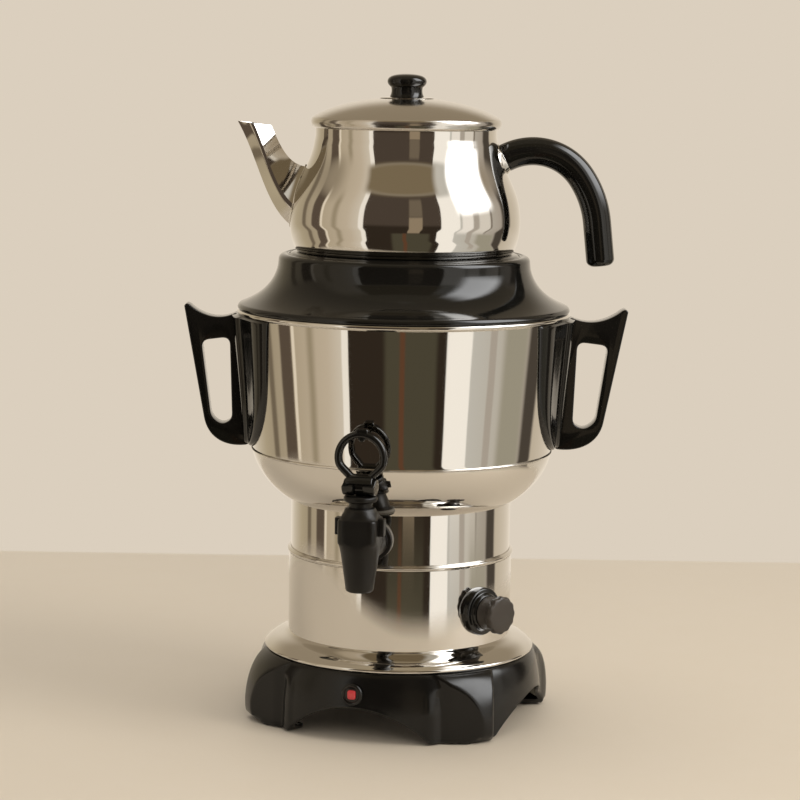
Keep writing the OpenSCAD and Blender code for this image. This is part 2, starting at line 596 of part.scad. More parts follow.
// Folds the outline [y, z] up into a plate across X, w wide.
module across(w) rotate([90, 0, 90]) translate([0, 0, -w / 2]) linear_extrude(w) children();
module tap_lever() color(black) tap_frame() translate([0, 0, pin_h]) difference() {
  union() {
    across(hub_w) {
      circle(cam_low);
      polygon(concat([[0, 0], [0, -cam_low]], [for (a = [0:8:tilt + 5])
        let (h = cam_low + cam_rate * a * PI / 180)
        [-h * sin(a) - cam_rate * cos(a), -h * cos(a) + cam_rate * sin(a)]], [[-3.6, 3.6]]));
    }
    rotate([90, 0, 0]) translate([0, 0, -loop_t / 2]) linear_extrude(loop_t) difference() {
      union() {
        translate([0, loop_h]) circle(loop_r);
        polygon([[-9.4, 0], [9.4, 0], loop_r * [cos(25), -sin(25)] + [0, loop_h],
          loop_r * [-cos(25), -sin(25)] + [0, loop_h]]);
        translate([-4.5, loop_h + loop_r - 2]) square([9, 3.6]);
      }
      translate([0, loop_h]) circle(loop_hole);
      polygon([[-4, 4], [4, 4], loop_hole * [cos(25), -sin(25)] + [0, loop_h],
        loop_hole * [-cos(25), -sin(25)] + [0, loop_h]]);
    }
    translate([0, 0, loop_h + loop_hole - 1]) rotate([0, 90, 0]) cylinder(r = 2.4, h = 5, center = true);
  }
  // Room for the stem's tang, from straight down to straight ahead.
  translate([-tang_w / 2 - 0.3, -15, -15]) cube([tang_w + 0.6, 15 + 3.7, 15 + 3.7]);
  rotate([0, 90, 0]) cylinder(r = pin_r + 0.05, h = 40, center = true);
}
module lever_pin() color("#b8b4aa") tap_frame() translate([0, 0, pin_h]) rotate([0, 90, 0])
  cylinder(r = pin_r, h = hub_w, center = true);
inner_washer = 69.8;
module tap_nut() color("#d8d4ca") tap_frame() difference() {
  translate([0, tap_reach, 0]) radial(shank_h, inner_washer - 7) cylinder(r = 13, h = 7, $fn = 6);
  shank(shank_r, 50, 100);
}
module tap_washers() color("#a8a49a") at(tap_turn) difference() {
  union() {
    radial(shank_h, neck_r - 3) cylinder(r = 12.5, h = 76.4 - neck_r + 3);
    radial(shank_h, inner_washer) cylinder(r = 11.5, h = 5);
  }
  ring(neck_r, neck_r - sheet, 100, 150);
  radial(shank_h, 50) cylinder(r = shank_r, h = 40);
}

// ---- teapot ----
belly = bez([[73.2, pot_low + 3.1], [76.4, 322.5], [77.9, 334], [75, 346.5]]);
throat = bez([[75, 346.5], [72.2, 358.5], [62.5, 372], [60.8, 385]]);
pot_side = concat([[70.8, pot_low], [72.2, pot_low + 0.9]], belly, [for (i = [1:10]) throat[i]],
  [[pot_rim_r, 389], [pot_rim_r, pot_rim]]);
module pot_solid($fn = 72) spun(concat([[0, pot_low]], pot_side, [[0, pot_rim]]));
strainer_at = [-74, 0, 351];
module teapot_body() color(steel) difference() {
  spun(concat([[0, pot_low]], pot_side, back(inset(pot_side, sheet)), [[0, pot_low + sheet]]));
  // Strainer: rows of holes behind the root of the spout.
  for (row = [-2:2]) for (i = [0:4 - abs(row)])
    translate(strainer_at + [-8, 5.6 * (i - (4 - abs(row)) / 2), 4.8 * row]) rotate([0, 90, 0])
      cylinder(r = strainer_r, h = 20);
}
disc_r = 56;
module teapot_base_disc() color("#a9a59b") spun([[0, pot_low], [disc_r, pot_low], [disc_r, pot_low - 1.6],
  [disc_r - 1.2, pot_low - 2.8], [0, pot_low - 2.8]]);

// The spout: pressed sheet with a sharp front and back and a crease along each side.
spout_front = [[-71, 326], [-93, 337], [-96, 370], [-111.6, 397.5]];
spout_back = [[-58, 368], [-76, 366], [-81, 376], [-89.5, 395]];
function spout_half(t) = 18.5 - 17 * t + 5.5 * t * t;
spout_sides = 20;
// A ring of points at t, less `less` all round. The crease lies at a third of the width below, half above.
function spout_ring(t, less) =
  let (u = 1 - t, w = [u * u * u, 3 * u * u * t, 3 * u * t * t, t * t * t],
    a = w * spout_front, b = w * spout_back, across = unit(b - a), crease = a + (b - a) * (0.32 + 0.18 * t),
    front = norm(crease - a) - less, rear = norm(b - crease) - less, half = spout_half(t) - less)
  [for (k = [0:spout_sides - 1]) let (c = cos(360 * k / spout_sides), s = sin(360 * k / spout_sides),
    flat = (abs(c) ^ 1.3 + abs(s) ^ 1.3) ^ (-1 / 1.3), p = crease + across * c * flat * (c < 0 ? front : rear))
    [p[0], half * s * flat, p[1]]];
module spout_loft(less, from, to, steps = 14)
  skin([for (i = [0:steps]) each spout_ring(from + (to - from) * i / steps, less)], spout_sides);
module teapot_spout() color(steel) difference() {
  spout_loft(0, 0, 1);
  spout_loft(1, -0.02, 1.03);
  pot_solid();
}

// Handle: a round bar bent in three arcs, as [radius, turn] each, then a straight end with a round tip.
hook_from = [66, 375.3];
hook_rise = 22;
hook = [[60, 14], [36.5, 55], [62, 43]];
hook_end = 12;
hook_sides = 24;
// Rings along the bar, as [point, direction, radius].
function hook_rings(p, way, i = 0) = i == len(hook) ? concat([[p, way, pot_grip_r]], [for (a = [0:15:75])
    [p + (hook_end + pot_grip_r * sin(a)) * [cos(way), sin(way)], way, pot_grip_r * cos(a)]])
  : let (R = hook[i][0], end = way - hook[i][1], mid = p + R * [sin(way), -cos(way)], n = ceil(hook[i][1] / 7))
    concat([for (k = [0:n - 1]) let (a = way + (end - way) * k / n) [mid + R * [-sin(a), cos(a)], a, pot_grip_r]],
      hook_rings(mid + R * [-sin(end), cos(end)], end, i + 1));
module bracket_line(from, to, r) translate([hook_from[0], 0, hook_from[1]]) rotate([0, 90 - hook_rise, 0])
  translate([0, 0, from]) cylinder(r = r, h = to - from);
module teapot_grip() color(black) difference() {
  skin([for (h = hook_rings(hook_from, hook_rise)) for (k = [0:hook_sides - 1])
    let (out = h[2] * cos(360 * k / hook_sides), side = h[2] * sin(360 * k / hook_sides))
    [h[0][0] - out * sin(h[1]), side, h[0][1] + out * cos(h[1])]], hook_sides);
  bracket_line(-1, 9, 2.5);
}
module grip_bracket() color(steel) difference() {
  bracket_line(-9, 0, 10.6);
  pot_solid($fn = 288);
}
module grip_stud() color("#b8b4aa") bracket_line(0, 9, 2.5);

// ---- lid ----
lid_edge = [[pot_rim_r + 0.4, pot_rim], [61.6, pot_rim + 0.5], [62.6, 396], [63, 398], [62.8, 399.7], [62, 401]];
dome = bez([[62, 401], [54, 406.5], [38, 412], [17.5, 413.9]], 12);
module teapot_lid() color("#b5ac9c") difference() {
  spun(concat(lid_edge, [for (i = [1:12]) dome[i]], [[0, 413.9], [0, 413.9 - sheet]],
    back([for (p = dome) p - [0.2, sheet]]), [[61.2, 398], [60.6, 395.6], [57.8, 395.2], [57.8, 385],
      [58.6, 385], [58.6, pot_rim], [pot_rim_r, pot_rim]]));
  translate([0, 0, 400]) cylinder(r = 2.2, h = 20);
}
module lid_washer() color(steel) difference() {
  spun([[0, 413.9], [17.6, 413.9], [18, 414.2], [16.8, 414.6], [12, 414.8], [0, 414.8]]);
  translate([0, 0, 400]) cylinder(r = 2.2, h = 20);
}
knob_foot = 414.8;
module lid_knob() color(black) difference() {
  spun(concat([[0, knob_foot], [11, knob_foot]],
    bez([[11, knob_foot + 0.4], [9.4, 416.8], [9.2, 419.4], [11, 421]], 6),
    bez([[11, 421], [13.2, 422.6], [14.6, 425.4], [12.8, 427]], 6),
    bez([[12.8, 427], [11.2, 428.8], [8, 430], [0, 430.2]], 6)));
  translate([0, 0, 400]) cylinder(r = 2, h = 25);
}
module lid_screw() color("#b8b4aa") translate([0, 0, 413.9 - sheet]) screw(2, 4.4, 425 - 413.9 + sheet, 2.2);

base_shell();
bottom_cover();
foot_pads();
cover_screws();
trim_flange();
indicator_bezel();
indicator_lens();
neon_lamp();
power_inlet();
inlet_pins();
terminal_block();
inner_wiring();
heater_housing();
seam_ring();
heat_shield();
shield_spacer();
centre_stud();
stud_washer();
stud_nut();
heating_element();
tank_floor();
thermal_cutout();
thermostat_body();
thermostat_shaft();
knob_escutcheon();
thermostat_knob();
capillary_bulb();
tank_neck();
tank_bowl();
tank_drum();
left_grip();
right_grip();
grip_screws();
grip_washers();
collar();
collar_seal();
teapot_seat_ring();
tap_body();
tap_bonnet();
tap_stem();
tap_seat_cup();
tap_spring();
tap_lever();
lever_pin();
tap_nut();
tap_washers();
teapot_body();
teapot_base_disc();
teapot_spout();
grip_bracket();
teapot_grip();
grip_stud();
teapot_lid();
lid_knob();
lid_washer();
lid_screw();
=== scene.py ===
import json
import math

import bmesh
import bpy
from bpy.props import FloatProperty, FloatVectorProperty, IntProperty, PointerProperty
from mathutils import Matrix, Vector


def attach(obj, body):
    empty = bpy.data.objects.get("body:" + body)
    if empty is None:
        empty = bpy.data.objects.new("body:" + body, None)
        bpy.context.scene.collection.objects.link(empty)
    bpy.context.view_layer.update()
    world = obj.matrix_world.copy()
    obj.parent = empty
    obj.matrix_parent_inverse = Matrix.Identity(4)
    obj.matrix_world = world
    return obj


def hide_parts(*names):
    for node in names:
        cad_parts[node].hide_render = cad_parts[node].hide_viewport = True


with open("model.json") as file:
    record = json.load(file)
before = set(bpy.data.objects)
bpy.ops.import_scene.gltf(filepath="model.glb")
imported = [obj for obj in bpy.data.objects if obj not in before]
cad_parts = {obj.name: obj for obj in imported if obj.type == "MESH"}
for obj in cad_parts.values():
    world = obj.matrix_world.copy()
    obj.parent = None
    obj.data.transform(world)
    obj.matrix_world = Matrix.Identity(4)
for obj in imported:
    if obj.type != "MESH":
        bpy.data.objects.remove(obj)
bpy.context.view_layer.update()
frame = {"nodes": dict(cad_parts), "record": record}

bl_info = {
    "name": "Two-tier electric samovar",
    "version": (1, 0, 0),
    "blender": (4, 5, 0),
    "location": "3D View > Sidebar > Samovar",
    "description": "Builds the looks of a steel water boiler with a tap and of the teapot that stands on it",
    "category": "Object",
}

# All shapes below are written in millimetres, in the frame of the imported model: +Z up, front along -Y.
# Directions round the axis are degrees from the front, growing towards +X.
MM = 0.001
# Every material, by the record's slot or by its own name; filled when the add-on runs.
FINISH = {}


# ---------------------------------------------------------------- curves and outlines
def bez(a, b, c, d, steps=16):
    """Points of a cubic curve, both ends included."""
    a, b, c, d = (Vector(p) for p in (a, b, c, d))
    return [
        tuple((1 - t) ** 3 * a + 3 * (1 - t) ** 2 * t * b + 3 * (1 - t) * t * t * c + t**3 * d)
        for t in (k / steps for k in range(steps + 1))
    ]


def arc(centre, radius, start, end, steps=10):
    """Points of an arc in a plane, angles in degrees."""
    return [
        (centre[0] + radius * math.cos(a), centre[1] + radius * math.sin(a))
        for a in (math.radians(start + (end - start) * k / steps) for k in range(steps + 1))
    ]


def inset(line, depth):
    """The same open line moved to its left by depth: inwards on a profile that runs upwards."""
    out = []
    for i, p in enumerate(line):
        q, r = line[max(i - 1, 0)], line[min(i + 1, len(line) - 1)]
        d = Vector((r[0] - q[0], r[1] - q[1])).normalized()
        out.append((p[0] - d.y * depth, p[1] + d.x * depth))
    return out


def rounded(before, here, after, size, steps, share=0.45):
    """The corner at `here` between its neighbours, rounded over size or that share of the shorter side."""
    here = Vector(here)
    ends = []
    for other in (before, after):
        side = Vector(other) - here
        ends.append(here + side.normalized() * min(size, share * side.length))
    return [
        tuple((1 - t) ** 2 * ends[0] + 2 * t * (1 - t) * here + t * t * ends[1])
        for t in (k / steps for k in range(steps + 1))
    ]


def soften(outline, size=0.4, steps=3, turn=22):
    """The closed outline with each corner sharper than turn degrees rounded over size."""
    out = []
    for i, here in enumerate(outline):
        before, after = outline[i - 1], outline[(i + 1) % len(outline)]
        u, v = Vector(before) - Vector(here), Vector(after) - Vector(here)
        plain = here[0] < 1e-6 or u.length < 1e-6 or v.length < 1e-6
        if plain or math.degrees(math.pi - u.angle(v)) < turn:
            out.append(tuple(Vector(here)))
        else:
            out += rounded(before, here, after, size, steps)
    return out


def between(points, value):
    """Straight interpolation in a list of (value, result) pairs."""
    if value <= points[0][0]:
        return points[0][1]
    for (a, p), (b, q) in zip(points, points[1:]):
        if value <= b:
            return p + (q - p) * (value - a) / (b - a)
    return points[-1][1]


def ease(low, high, value):
    """0 below low, 1 above high, and a soft step between them."""
    t = min(1.0, max(0.0, (value - low) / (high - low)))
    return t * t * (3 - 2 * t)


def blend_min(a, b, soft):
    """The lower of two values, with the corner between them rounded over soft."""
    h = max(soft - abs(a - b), 0) / soft
    return min(a, b) - h * h * soft / 4


def blend_max(a, b, soft):
    """The higher of two values, with the corner between them rounded over soft."""
    return -blend_min(-a, -b, soft)


def turned(angle):
    """A turn about the upright axis."""
    return Matrix.Rotation(math.radians(angle), 4, "Z")


def radial(angle, z, out=0.0):
    """A place on the axis at that height whose +Z points outwards in that direction, moved out by `out`."""
    return turned(angle) @ Matrix.Translation((0, -out, z)) @ Matrix.Rotation(math.pi / 2, 4, "X")


# ---------------------------------------------------------------- meshes
def linked(name, data):
    """A new object in the scene."""
    obj = bpy.data.objects.new(name, data)
    bpy.context.scene.collection.objects.link(obj)
    return obj


def make(name, points, faces, finish, crease=35.0):
    """A mesh object from points in mm, smooth but for edges sharper than crease degrees; finish is a FINISH key."""
    mesh = bpy.data.meshes.new(name)
    mesh.from_pydata([Vector(p) * MM for p in points], [], faces)
    mesh.validate()
    mesh.materials.append(FINISH[finish])
    return shade(linked(name, mesh), crease)


def shade(obj, crease=35.0):
    """Smooth faces, with edges sharper than crease degrees kept sharp."""
    mesh = obj.data
    mesh.polygons.foreach_set("use_smooth", [True] * len(mesh.polygons))
    mesh.set_sharp_from_angle(angle=math.radians(crease))
    return obj


def tidy(obj, crease=35.0, merge=0.01):
    """Merges doubled points and turns all faces outwards."""
    work = bmesh.new()
    work.from_mesh(obj.data)
    bmesh.ops.remove_doubles(work, verts=work.verts, dist=merge * MM)
    bmesh.ops.dissolve_degenerate(work, edges=work.edges, dist=1e-7)
    bmesh.ops.recalc_face_normals(work, faces=work.faces)
    work.to_mesh(obj.data)
    work.free()
    return shade(obj, crease)


def apply(obj):
    """Replaces the object's modifiers by their result."""
    graph = bpy.context.evaluated_depsgraph_get()
    mesh = bpy.data.meshes.new_from_object(obj.evaluated_get(graph))
    old = obj.data
    obj.modifiers.clear()
    obj.data = mesh
    bpy.data.meshes.remove(old)
    mesh.name = obj.name
    return obj


def join(name, parts, crease=35.0):
    """One object out of several, keeping each part's material."""
    work, finishes = bmesh.new(), []
    for part in parts:
        first = len(work.faces)
        work.from_mesh(part.data)
        work.faces.ensure_lookup_table()
        for face in work.faces[first:]:
            finish = part.data.materials[face.material_index]
            if finish not in finishes:
                finishes.append(finish)
            face.material_index = finishes.index(finish)
    mesh = bpy.data.meshes.new(name)
    work.to_mesh(mesh)
    work.free()
    for finish in finishes:
        mesh.materials.append(finish)
    for part in parts:
        old = part.data
        bpy.data.objects.remove(part)
        bpy.data.meshes.remove(old)
    return shade(linked(name, mesh), crease)


def ring_points(radius, z, count):
    """Points round the axis, the first one at the front."""
    return [
        (radius * math.sin(2 * math.pi * k / count), -radius * math.cos(2 * math.pi * k / count), z)
        for k in range(count)
    ]


def skin(rings, closed=False):
    """Points and faces over rings of equal length. An end ring of one point is a pole, a longer one is capped."""
    points, faces, starts = [], [], []
    for ring in rings:
        starts.append(len(points))
        points += ring
    pairs = list(zip(range(len(rings)), range(1, len(rings))))
    if closed:
        pairs.append((len(rings) - 1, 0))
    for i, j in pairs:
        a, b = len(rings[i]), len(rings[j])
        n = max(a, b)
        for k in range(n):
            m = (k + 1) % n
            corners = [starts[i] + k % a, starts[i] + m % a, starts[j] + m % b, starts[j] + k % b]
            corners = [c for at, c in enumerate(corners) if c not in corners[:at]]
            if len(corners) > 2:
                faces.append(corners)
    if not closed:
        for i, flip in ((0, True), (len(rings) - 1, False)):
            if len(rings[i]) > 1:
                cap = list(range(starts[i], starts[i] + len(rings[i])))
                faces.append(cap[::-1] if flip else cap)
    return points, faces


def turned_rings(outline, segments):
    """A ring of points for each (radius, height); points on the axis become poles."""
    return [[(0, 0, z)] if r < 1e-6 else ring_points(r, z, segments) for r, z in outline]


def lathe(name, outline, finish, segments=192, place=None, crease=35.0, bend=None):
    """A turned piece. The outline of (radius, height) runs up the outside."""
    rings = turned_rings(outline, segments)
    points, faces = skin(rings, closed=len(rings[0]) > 1 or len(rings[-1]) > 1)
    if bend is not None:
        points = [bend(p) for p in points]
    if place is not None:
        points = [place @ Vector(p) for p in points]
    return make(name, points, faces, finish, crease)


def blind_bore(rings):
    """Points and faces of a turned piece whose outline ends in a blind bore: two of its rings are poles."""
    poles = [i for i, ring in enumerate(rings) if len(ring) == 1]
    return skin(rings[poles[1] :] + rings[: poles[0] + 1])


def wall(line, thickness):
    """A closed outline: the line, and the same line moved inwards."""
    return list(line) + inset(line, thickness)[::-1]


def sweep(name, path, section, finish, place, side=(0, 1, 0), crease=35.0):
    """A section of (across, side) points carried along an open path that lies in the plane square to side."""
    side = Vector(side)
    path = [Vector(p) for p in path]
    n, rings = len(path), []
    for i, p in enumerate(path):
        across = (path[min(i + 1, n - 1)] - path[max(i - 1, 0)]).cross(side).normalized()
        rings.append([place @ (p + across * a + side * s) for a, s in section])
    points, faces = skin(rings)
    return tidy(make(name, points, faces, finish, crease), crease)


def rounded_rectangle(width, depth, corner, steps=5):
    """A closed outline round the origin."""
    x, y = width / 2 - corner, depth / 2 - corner
    return [
        p
        for cx, cy, start in ((x, y, 0), (-x, y, 90), (-x, -y, 180), (x, -y, 270))
        for p in arc((cx, cy), corner, start, start + 90, steps)
    ]


def slab(name, loops, low, high, bevel, place, finish, crease=35.0):
    """A flat plate over closed loops, the first one outside and the others holes, with rounded edges."""
    curve = bpy.data.curves.new(name, "CURVE")
    curve.dimensions = "2D"
    curve.fill_mode = "BOTH"
    for loop in loops:
        spline = curve.splines.new("POLY")
        spline.points.add(len(loop) - 1)
        for point, (x, y) in zip(spline.points, loop):
            point.co = (x, y, 0, 1)
        spline.use_cyclic_u = True
    curve.extrude = (high - low) / 2 - bevel
    curve.bevel_depth, curve.bevel_resolution, curve.offset = bevel, 3, -bevel
    shape = linked(name, curve)
    graph = bpy.context.evaluated_depsgraph_get()
    mesh = bpy.data.meshes.new_from_object(shape.evaluated_get(graph))
    bpy.data.objects.remove(shape)
    bpy.data.curves.remove(curve)
    mesh.transform(Matrix.Scale(MM, 4) @ place @ Matrix.Translation((0, 0, (low + high) / 2)))
    mesh.materials.clear()
    mesh.materials.append(FINISH[finish])
    return tidy(linked(name, mesh), crease)


def cut(obj, cutter):
    """Takes the cutter's shape out of the object, and removes the cutter."""
    change = obj.modifiers.new("cut", "BOOLEAN")
    change.operation, change.solver, change.object = "DIFFERENCE", "EXACT", cutter
    apply(obj)
    bpy.data.objects.remove(cutter)
    return obj


def fit(obj, body, slot, *nodes):
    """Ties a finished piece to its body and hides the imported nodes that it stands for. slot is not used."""
    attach(obj, body)
    if nodes:
        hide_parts(*nodes)
    return obj


# ---------------------------------------------------------------- Geometry Nodes
# Distance of two rows of strainer holes as a share of their pitch, and a ridge's half width as an angle.
ROW_RISE, RIDGE_WIDTH = 0.866, 0.13


def add(tree, kind, inputs=None, **settings):
    """One node with its settings; a socket among its inputs is linked, any other value is set."""
    made = tree.nodes.new(kind)
    for key, value in settings.items():
        setattr(made, key, value)
    for key, value in (inputs or {}).items():
        if isinstance(value, bpy.types.NodeSocket):
            tree.links.new(value, made.inputs[key])
        else:
            made.inputs[key].default_value = value
    return made


def calculator(tree):
    """A short way to add math nodes to that tree: the operation, then its values or sockets."""

    def calc(operation, *values):
        return add(tree, "ShaderNodeMath", dict(enumerate(values)), operation=operation).outputs[0]

    return calc


def new_tree(name, **sockets):
    """A Geometry Nodes tree with these named inputs and a material; gives the tree and its inputs by name."""
    tree = bpy.data.node_groups.new(name, "GeometryNodeTree")
    tree.interface.new_socket("Geometry", in_out="INPUT", socket_type="NodeSocketGeometry")
    tree.interface.new_socket("Geometry", in_out="OUTPUT", socket_type="NodeSocketGeometry")
    for label, kind in [*sockets.items(), ("material", "Material")]:
        label = label.replace("_", " ").capitalize()
        tree.interface.new_socket(label, in_out="INPUT", socket_type="NodeSocket" + kind)
    return tree, {socket.name: socket for socket in tree.nodes.new("NodeGroupInput").outputs}


def close_tree(tree, given, shape):
    """Ends a tree: the shape made real, in the material that the tree is given."""
    real = add(tree, "GeometryNodeRealizeInstances", {"Geometry": shape})
    done = add(tree, "GeometryNodeSetMaterial", {"Geometry": real.outputs[0], "Material": given["Material"]})
    add(tree, "NodeGroupOutput", {0: done.outputs[0]})
    return tree


def ring_tree():
    """Repeats the piece round the upright axis: the foot pads and the cover screws."""
    tree, given = new_tree("repeat_round_axis", count="Int", first_angle="Float")
    calc = calculator(tree)
    index = add(tree, "GeometryNodeInputIndex").outputs[0]
    angle = calc("MULTIPLY_ADD", index, calc("DIVIDE", 2 * math.pi, given["Count"]), given["First angle"])
    turn = add(tree, "ShaderNodeCombineXYZ", {"Z": angle}).outputs[0]
    spots = add(tree, "GeometryNodePoints", {"Count": given["Count"]}).outputs[0]
    repeat = {"Points": spots, "Instance": given["Geometry"], "Rotation": turn}
    return close_tree(tree, given, add(tree, "GeometryNodeInstanceOnPoints", repeat).outputs[0])


def rows_tree():
    """Repeats the piece on a hexagon of rows in the plane X = 0: the holes of a strainer."""
    tree, given = new_tree("strainer_rows", pitch="Float", rings="Int")
    calc, pitch, rings = calculator(tree), given["Pitch"], given["Rings"]
    across = calc("MULTIPLY_ADD", rings, 2.0, 1.0)
    index = add(tree, "GeometryNodeInputIndex").outputs[0]
    column = calc("SUBTRACT", calc("MODULO", index, across), rings)
    row = calc("SUBTRACT", calc("FLOOR", calc("DIVIDE", index, across)), rings)
    y = calc("MULTIPLY", calc("MULTIPLY_ADD", row, 0.5, column), pitch)
    z = calc("MULTIPLY", calc("MULTIPLY", row, ROW_RISE), pitch)
    spot = add(tree, "ShaderNodeCombineXYZ", {"Y": y, "Z": z}).outputs[0]
    spots = add(tree, "GeometryNodePoints", {"Count": calc("MULTIPLY", across, across), "Position": spot})
    size = add(tree, "ShaderNodeVectorMath", {0: spot}, operation="LENGTH").outputs["Value"]
    near = calc("LESS_THAN", size, calc("MULTIPLY", calc("MULTIPLY", rings, pitch), 1.02))
    repeat = {"Points": spots.outputs[0], "Selection": near, "Instance": given["Geometry"]}
    return close_tree(tree, given, add(tree, "GeometryNodeInstanceOnPoints", repeat).outputs[0])


def bar_tree():
    """A moulded bar along a line: a round section with soft ridges down its length."""
    tree, given = new_tree("ridged_bar", radius="Float", ridge="Float", ridge_angle="Float")
    calc = calculator(tree)
    line = add(tree, "GeometryNodeMeshToCurve", {0: given["Geometry"]})
    normal = add(tree, "GeometryNodeSetCurveNormal", {0: line.outputs[0]}, mode="MINIMUM_TWIST")
    girth = add(tree, "GeometryNodeInputNamedAttribute", {"Name": "girth"}, data_type="FLOAT")
    size = {"Resolution": 96, "Radius": given["Radius"]}
    circle = add(tree, "GeometryNodeCurvePrimitiveCircle", size, mode="RADIUS")
    place = add(tree, "GeometryNodeInputPosition").outputs[0]
    split = add(tree, "ShaderNodeSeparateXYZ", {0: place})
    angle = calc("ARCTAN2", calc("ABSOLUTE", split.outputs["X"]), calc("ABSOLUTE", split.outputs["Y"]))
    near = calc("DIVIDE", calc("SUBTRACT", angle, given["Ridge angle"]), RIDGE_WIDTH)
    bell = calc("EXPONENT", calc("MULTIPLY", calc("POWER", near, 2.0), -1.0))
    lift = calc("MULTIPLY_ADD", bell, given["Ridge"], 1.0)
    shaped = add(tree, "ShaderNodeVectorMath", {0: place, "Scale": lift}, operation="SCALE")
    section = add(tree, "GeometryNodeSetPosition", {0: circle.outputs[0], "Position": shaped.outputs[0]})
    swept = {0: normal.outputs[0], 1: section.outputs[0], "Scale": girth.outputs["Attribute"], "Fill Caps": True}
    return close_tree(tree, given, add(tree, "GeometryNodeCurveToMesh", swept).outputs[0])


def grow(obj, tree, **inputs):
    """Runs a Geometry Nodes tree on the object and keeps the plain mesh that it gives."""
    change = obj.modifiers.new(tree.name, "NODES")
    change.node_group = tree
    for item in tree.interface.items_tree:
        if item.item_type == "SOCKET" and item.in_out == "INPUT":
            label = item.name.replace(" ", "_").lower()
            if label in inputs:
                value = inputs[label]
                change[item.identifier] = FINISH[value] if isinstance(value, str) else value
    return apply(obj)


# ---------------------------------------------------------------- materials
def colour(code, alpha=1.0):
    """An sRGB hex colour as linear red, green, blue and alpha."""
    parts = [int(code.lstrip("#")[i : i + 2], 16) / 255 for i in (0, 2, 4)]
    return tuple(c / 12.92 if c <= 0.04045 else ((c + 0.055) / 1.055) ** 2.4 for c in parts) + (alpha,)


def surface(name, base, **sockets):
    """A new Principled material; gives the material, its tree, its shader and the Object coordinates."""
    finish = bpy.data.materials.new(name)
    finish.use_nodes = True
    tree = finish.node_tree
    shader = tree.nodes["Principled BSDF"]
    shader.inputs["Base Color"].default_value = colour(base)
    for key, value in sockets.items():
        shader.inputs[key.replace("_", " ")].default_value = value
    place = add(tree, "ShaderNodeTexCoord").outputs["Object"]
    return finish, tree, shader, place


def noise(tree, place, size_mm, detail=2.0, stretch=(1, 1, 1)):
    """Cloudy noise whose patches are about size_mm across, stretched along each axis by that much."""
    scale = tuple(1 / (size_mm * MM * s) for s in stretch)
    scaled = add(tree, "ShaderNodeMapping", {"Vector": place, "Scale": scale}).outputs[0]
    sizes = {"Vector": scaled, "Scale": 1.0, "Detail": detail, "Roughness": 0.5}
    return add(tree, "ShaderNodeTexNoise", sizes).outputs[0]


def spread_over(tree, value, low, high, start=0.3, end=0.7):
    """The value's middle range mapped to low..high."""
    sizes = {"Value": value, "From Min": start, "From Max": end, "To Min": low, "To Max": high}
    return add(tree, "ShaderNodeMapRange", sizes).outputs[0]


def dull(tree, shader, value, *ends):
    """Roughness that follows the value; ends as in spread_over."""
    tree.links.new(spread_over(tree, value, *ends), shader.inputs["Roughness"])


def bump(tree, shader, value, depth_mm, strength=1.0):
    """Relief of that depth, on top of any that is there already."""
    relief = add(tree, "ShaderNodeBump", {"Height": value, "Distance": depth_mm * MM, "Strength": strength})
    if shader.inputs["Normal"].is_linked:
        tree.links.new(shader.inputs["Normal"].links[0].from_socket, relief.inputs["Normal"])
    tree.links.new(relief.outputs[0], shader.inputs["Normal"])


def tint(tree, shader, value, dark, light):
    """The base colour varied between two shades, hex or linear, by a value from 0 to 1."""
    dark, light = (colour(c) if isinstance(c, str) else tuple(c) for c in (dark, light))
    shades = {"Factor": value, 6: dark, 7: light}
    mixed = add(tree, "ShaderNodeMix", shades, data_type="RGBA")
    tree.links.new(mixed.outputs[2], shader.inputs["Base Color"])


def buffed_steel():
    # Stainless sheet, spun and buffed to a mirror: warm grey, with the slow roll of a spun wall
    # and very faint polishing lines that run round it.
    finish, tree, shader, place = surface("buffed_stainless_steel", "#dad7d2", Metallic=1.0)
    cloud = noise(tree, place, 60)
    lines = noise(tree, place, 1.1, 1.0, stretch=(90, 90, 1))
    dull(tree, shader, calculator(tree)("MULTIPLY_ADD", lines, 0.5, cloud), 0.03, 0.065, 0.55, 0.95)
    bump(tree, shader, noise(tree, place, 34, 1.0, stretch=(1, 1, 1.6)), 0.10)
    return finish


def satin_steel():
    # The lid is pressed and buffed less than the walls: it blurs the room to a soft gradient and keeps a
    # dim image of what stands close to it.
    finish, tree, shader, place = surface("satin_stainless_steel", "#d2cec8", Metallic=1.0)
    dull(tree, shader, noise(tree, place, 2.5, 3.0), 0.13, 0.19)
    bump(tree, shader, noise(tree, place, 25), 0.05)
    return finish


def moulded(name, base, ior, hazy, rough, patch, shades, reliefs):
    """A moulded or cast non-metal. hazy, patch and each relief start with a noise: its size in mm and detail."""
    finish, tree, shader, place = surface(name, base, IOR=ior)
    dull(tree, shader, noise(tree, place, *hazy), *rough)
    tint(tree, shader, noise(tree, place, *patch), *shades)
    for size, detail, depth in reliefs:
        bump(tree, shader, noise(tree, place, size, detail), depth)
    return finish


def moulded_part(name, base, rough, grain_mm, depth_mm, mottled, ior=1.5):
    """A small non-metal part with a grain and two close shades."""
    grain = (grain_mm, 3.0)
    return moulded(name, base, ior, grain, rough, (grain_mm * 5, 2.0), (base, mottled), [(*grain, depth_mm)])


def knob_plastic():
    # The thermostat knob is a browner thermoset, greyed by handling on its face.
    finish, tree, shader, place = surface("thermoset_knob", "#322d27", IOR=1.5)
    grain = noise(tree, place, 0.9, 2.0)
    worn = noise(tree, place, 6, 3.0)
    dull(tree, shader, worn, 0.42, 0.60)
    tint(tree, shader, worn, "#2b2621", "#3d362f")
    bump(tree, shader, grain, 0.03)
    return finish


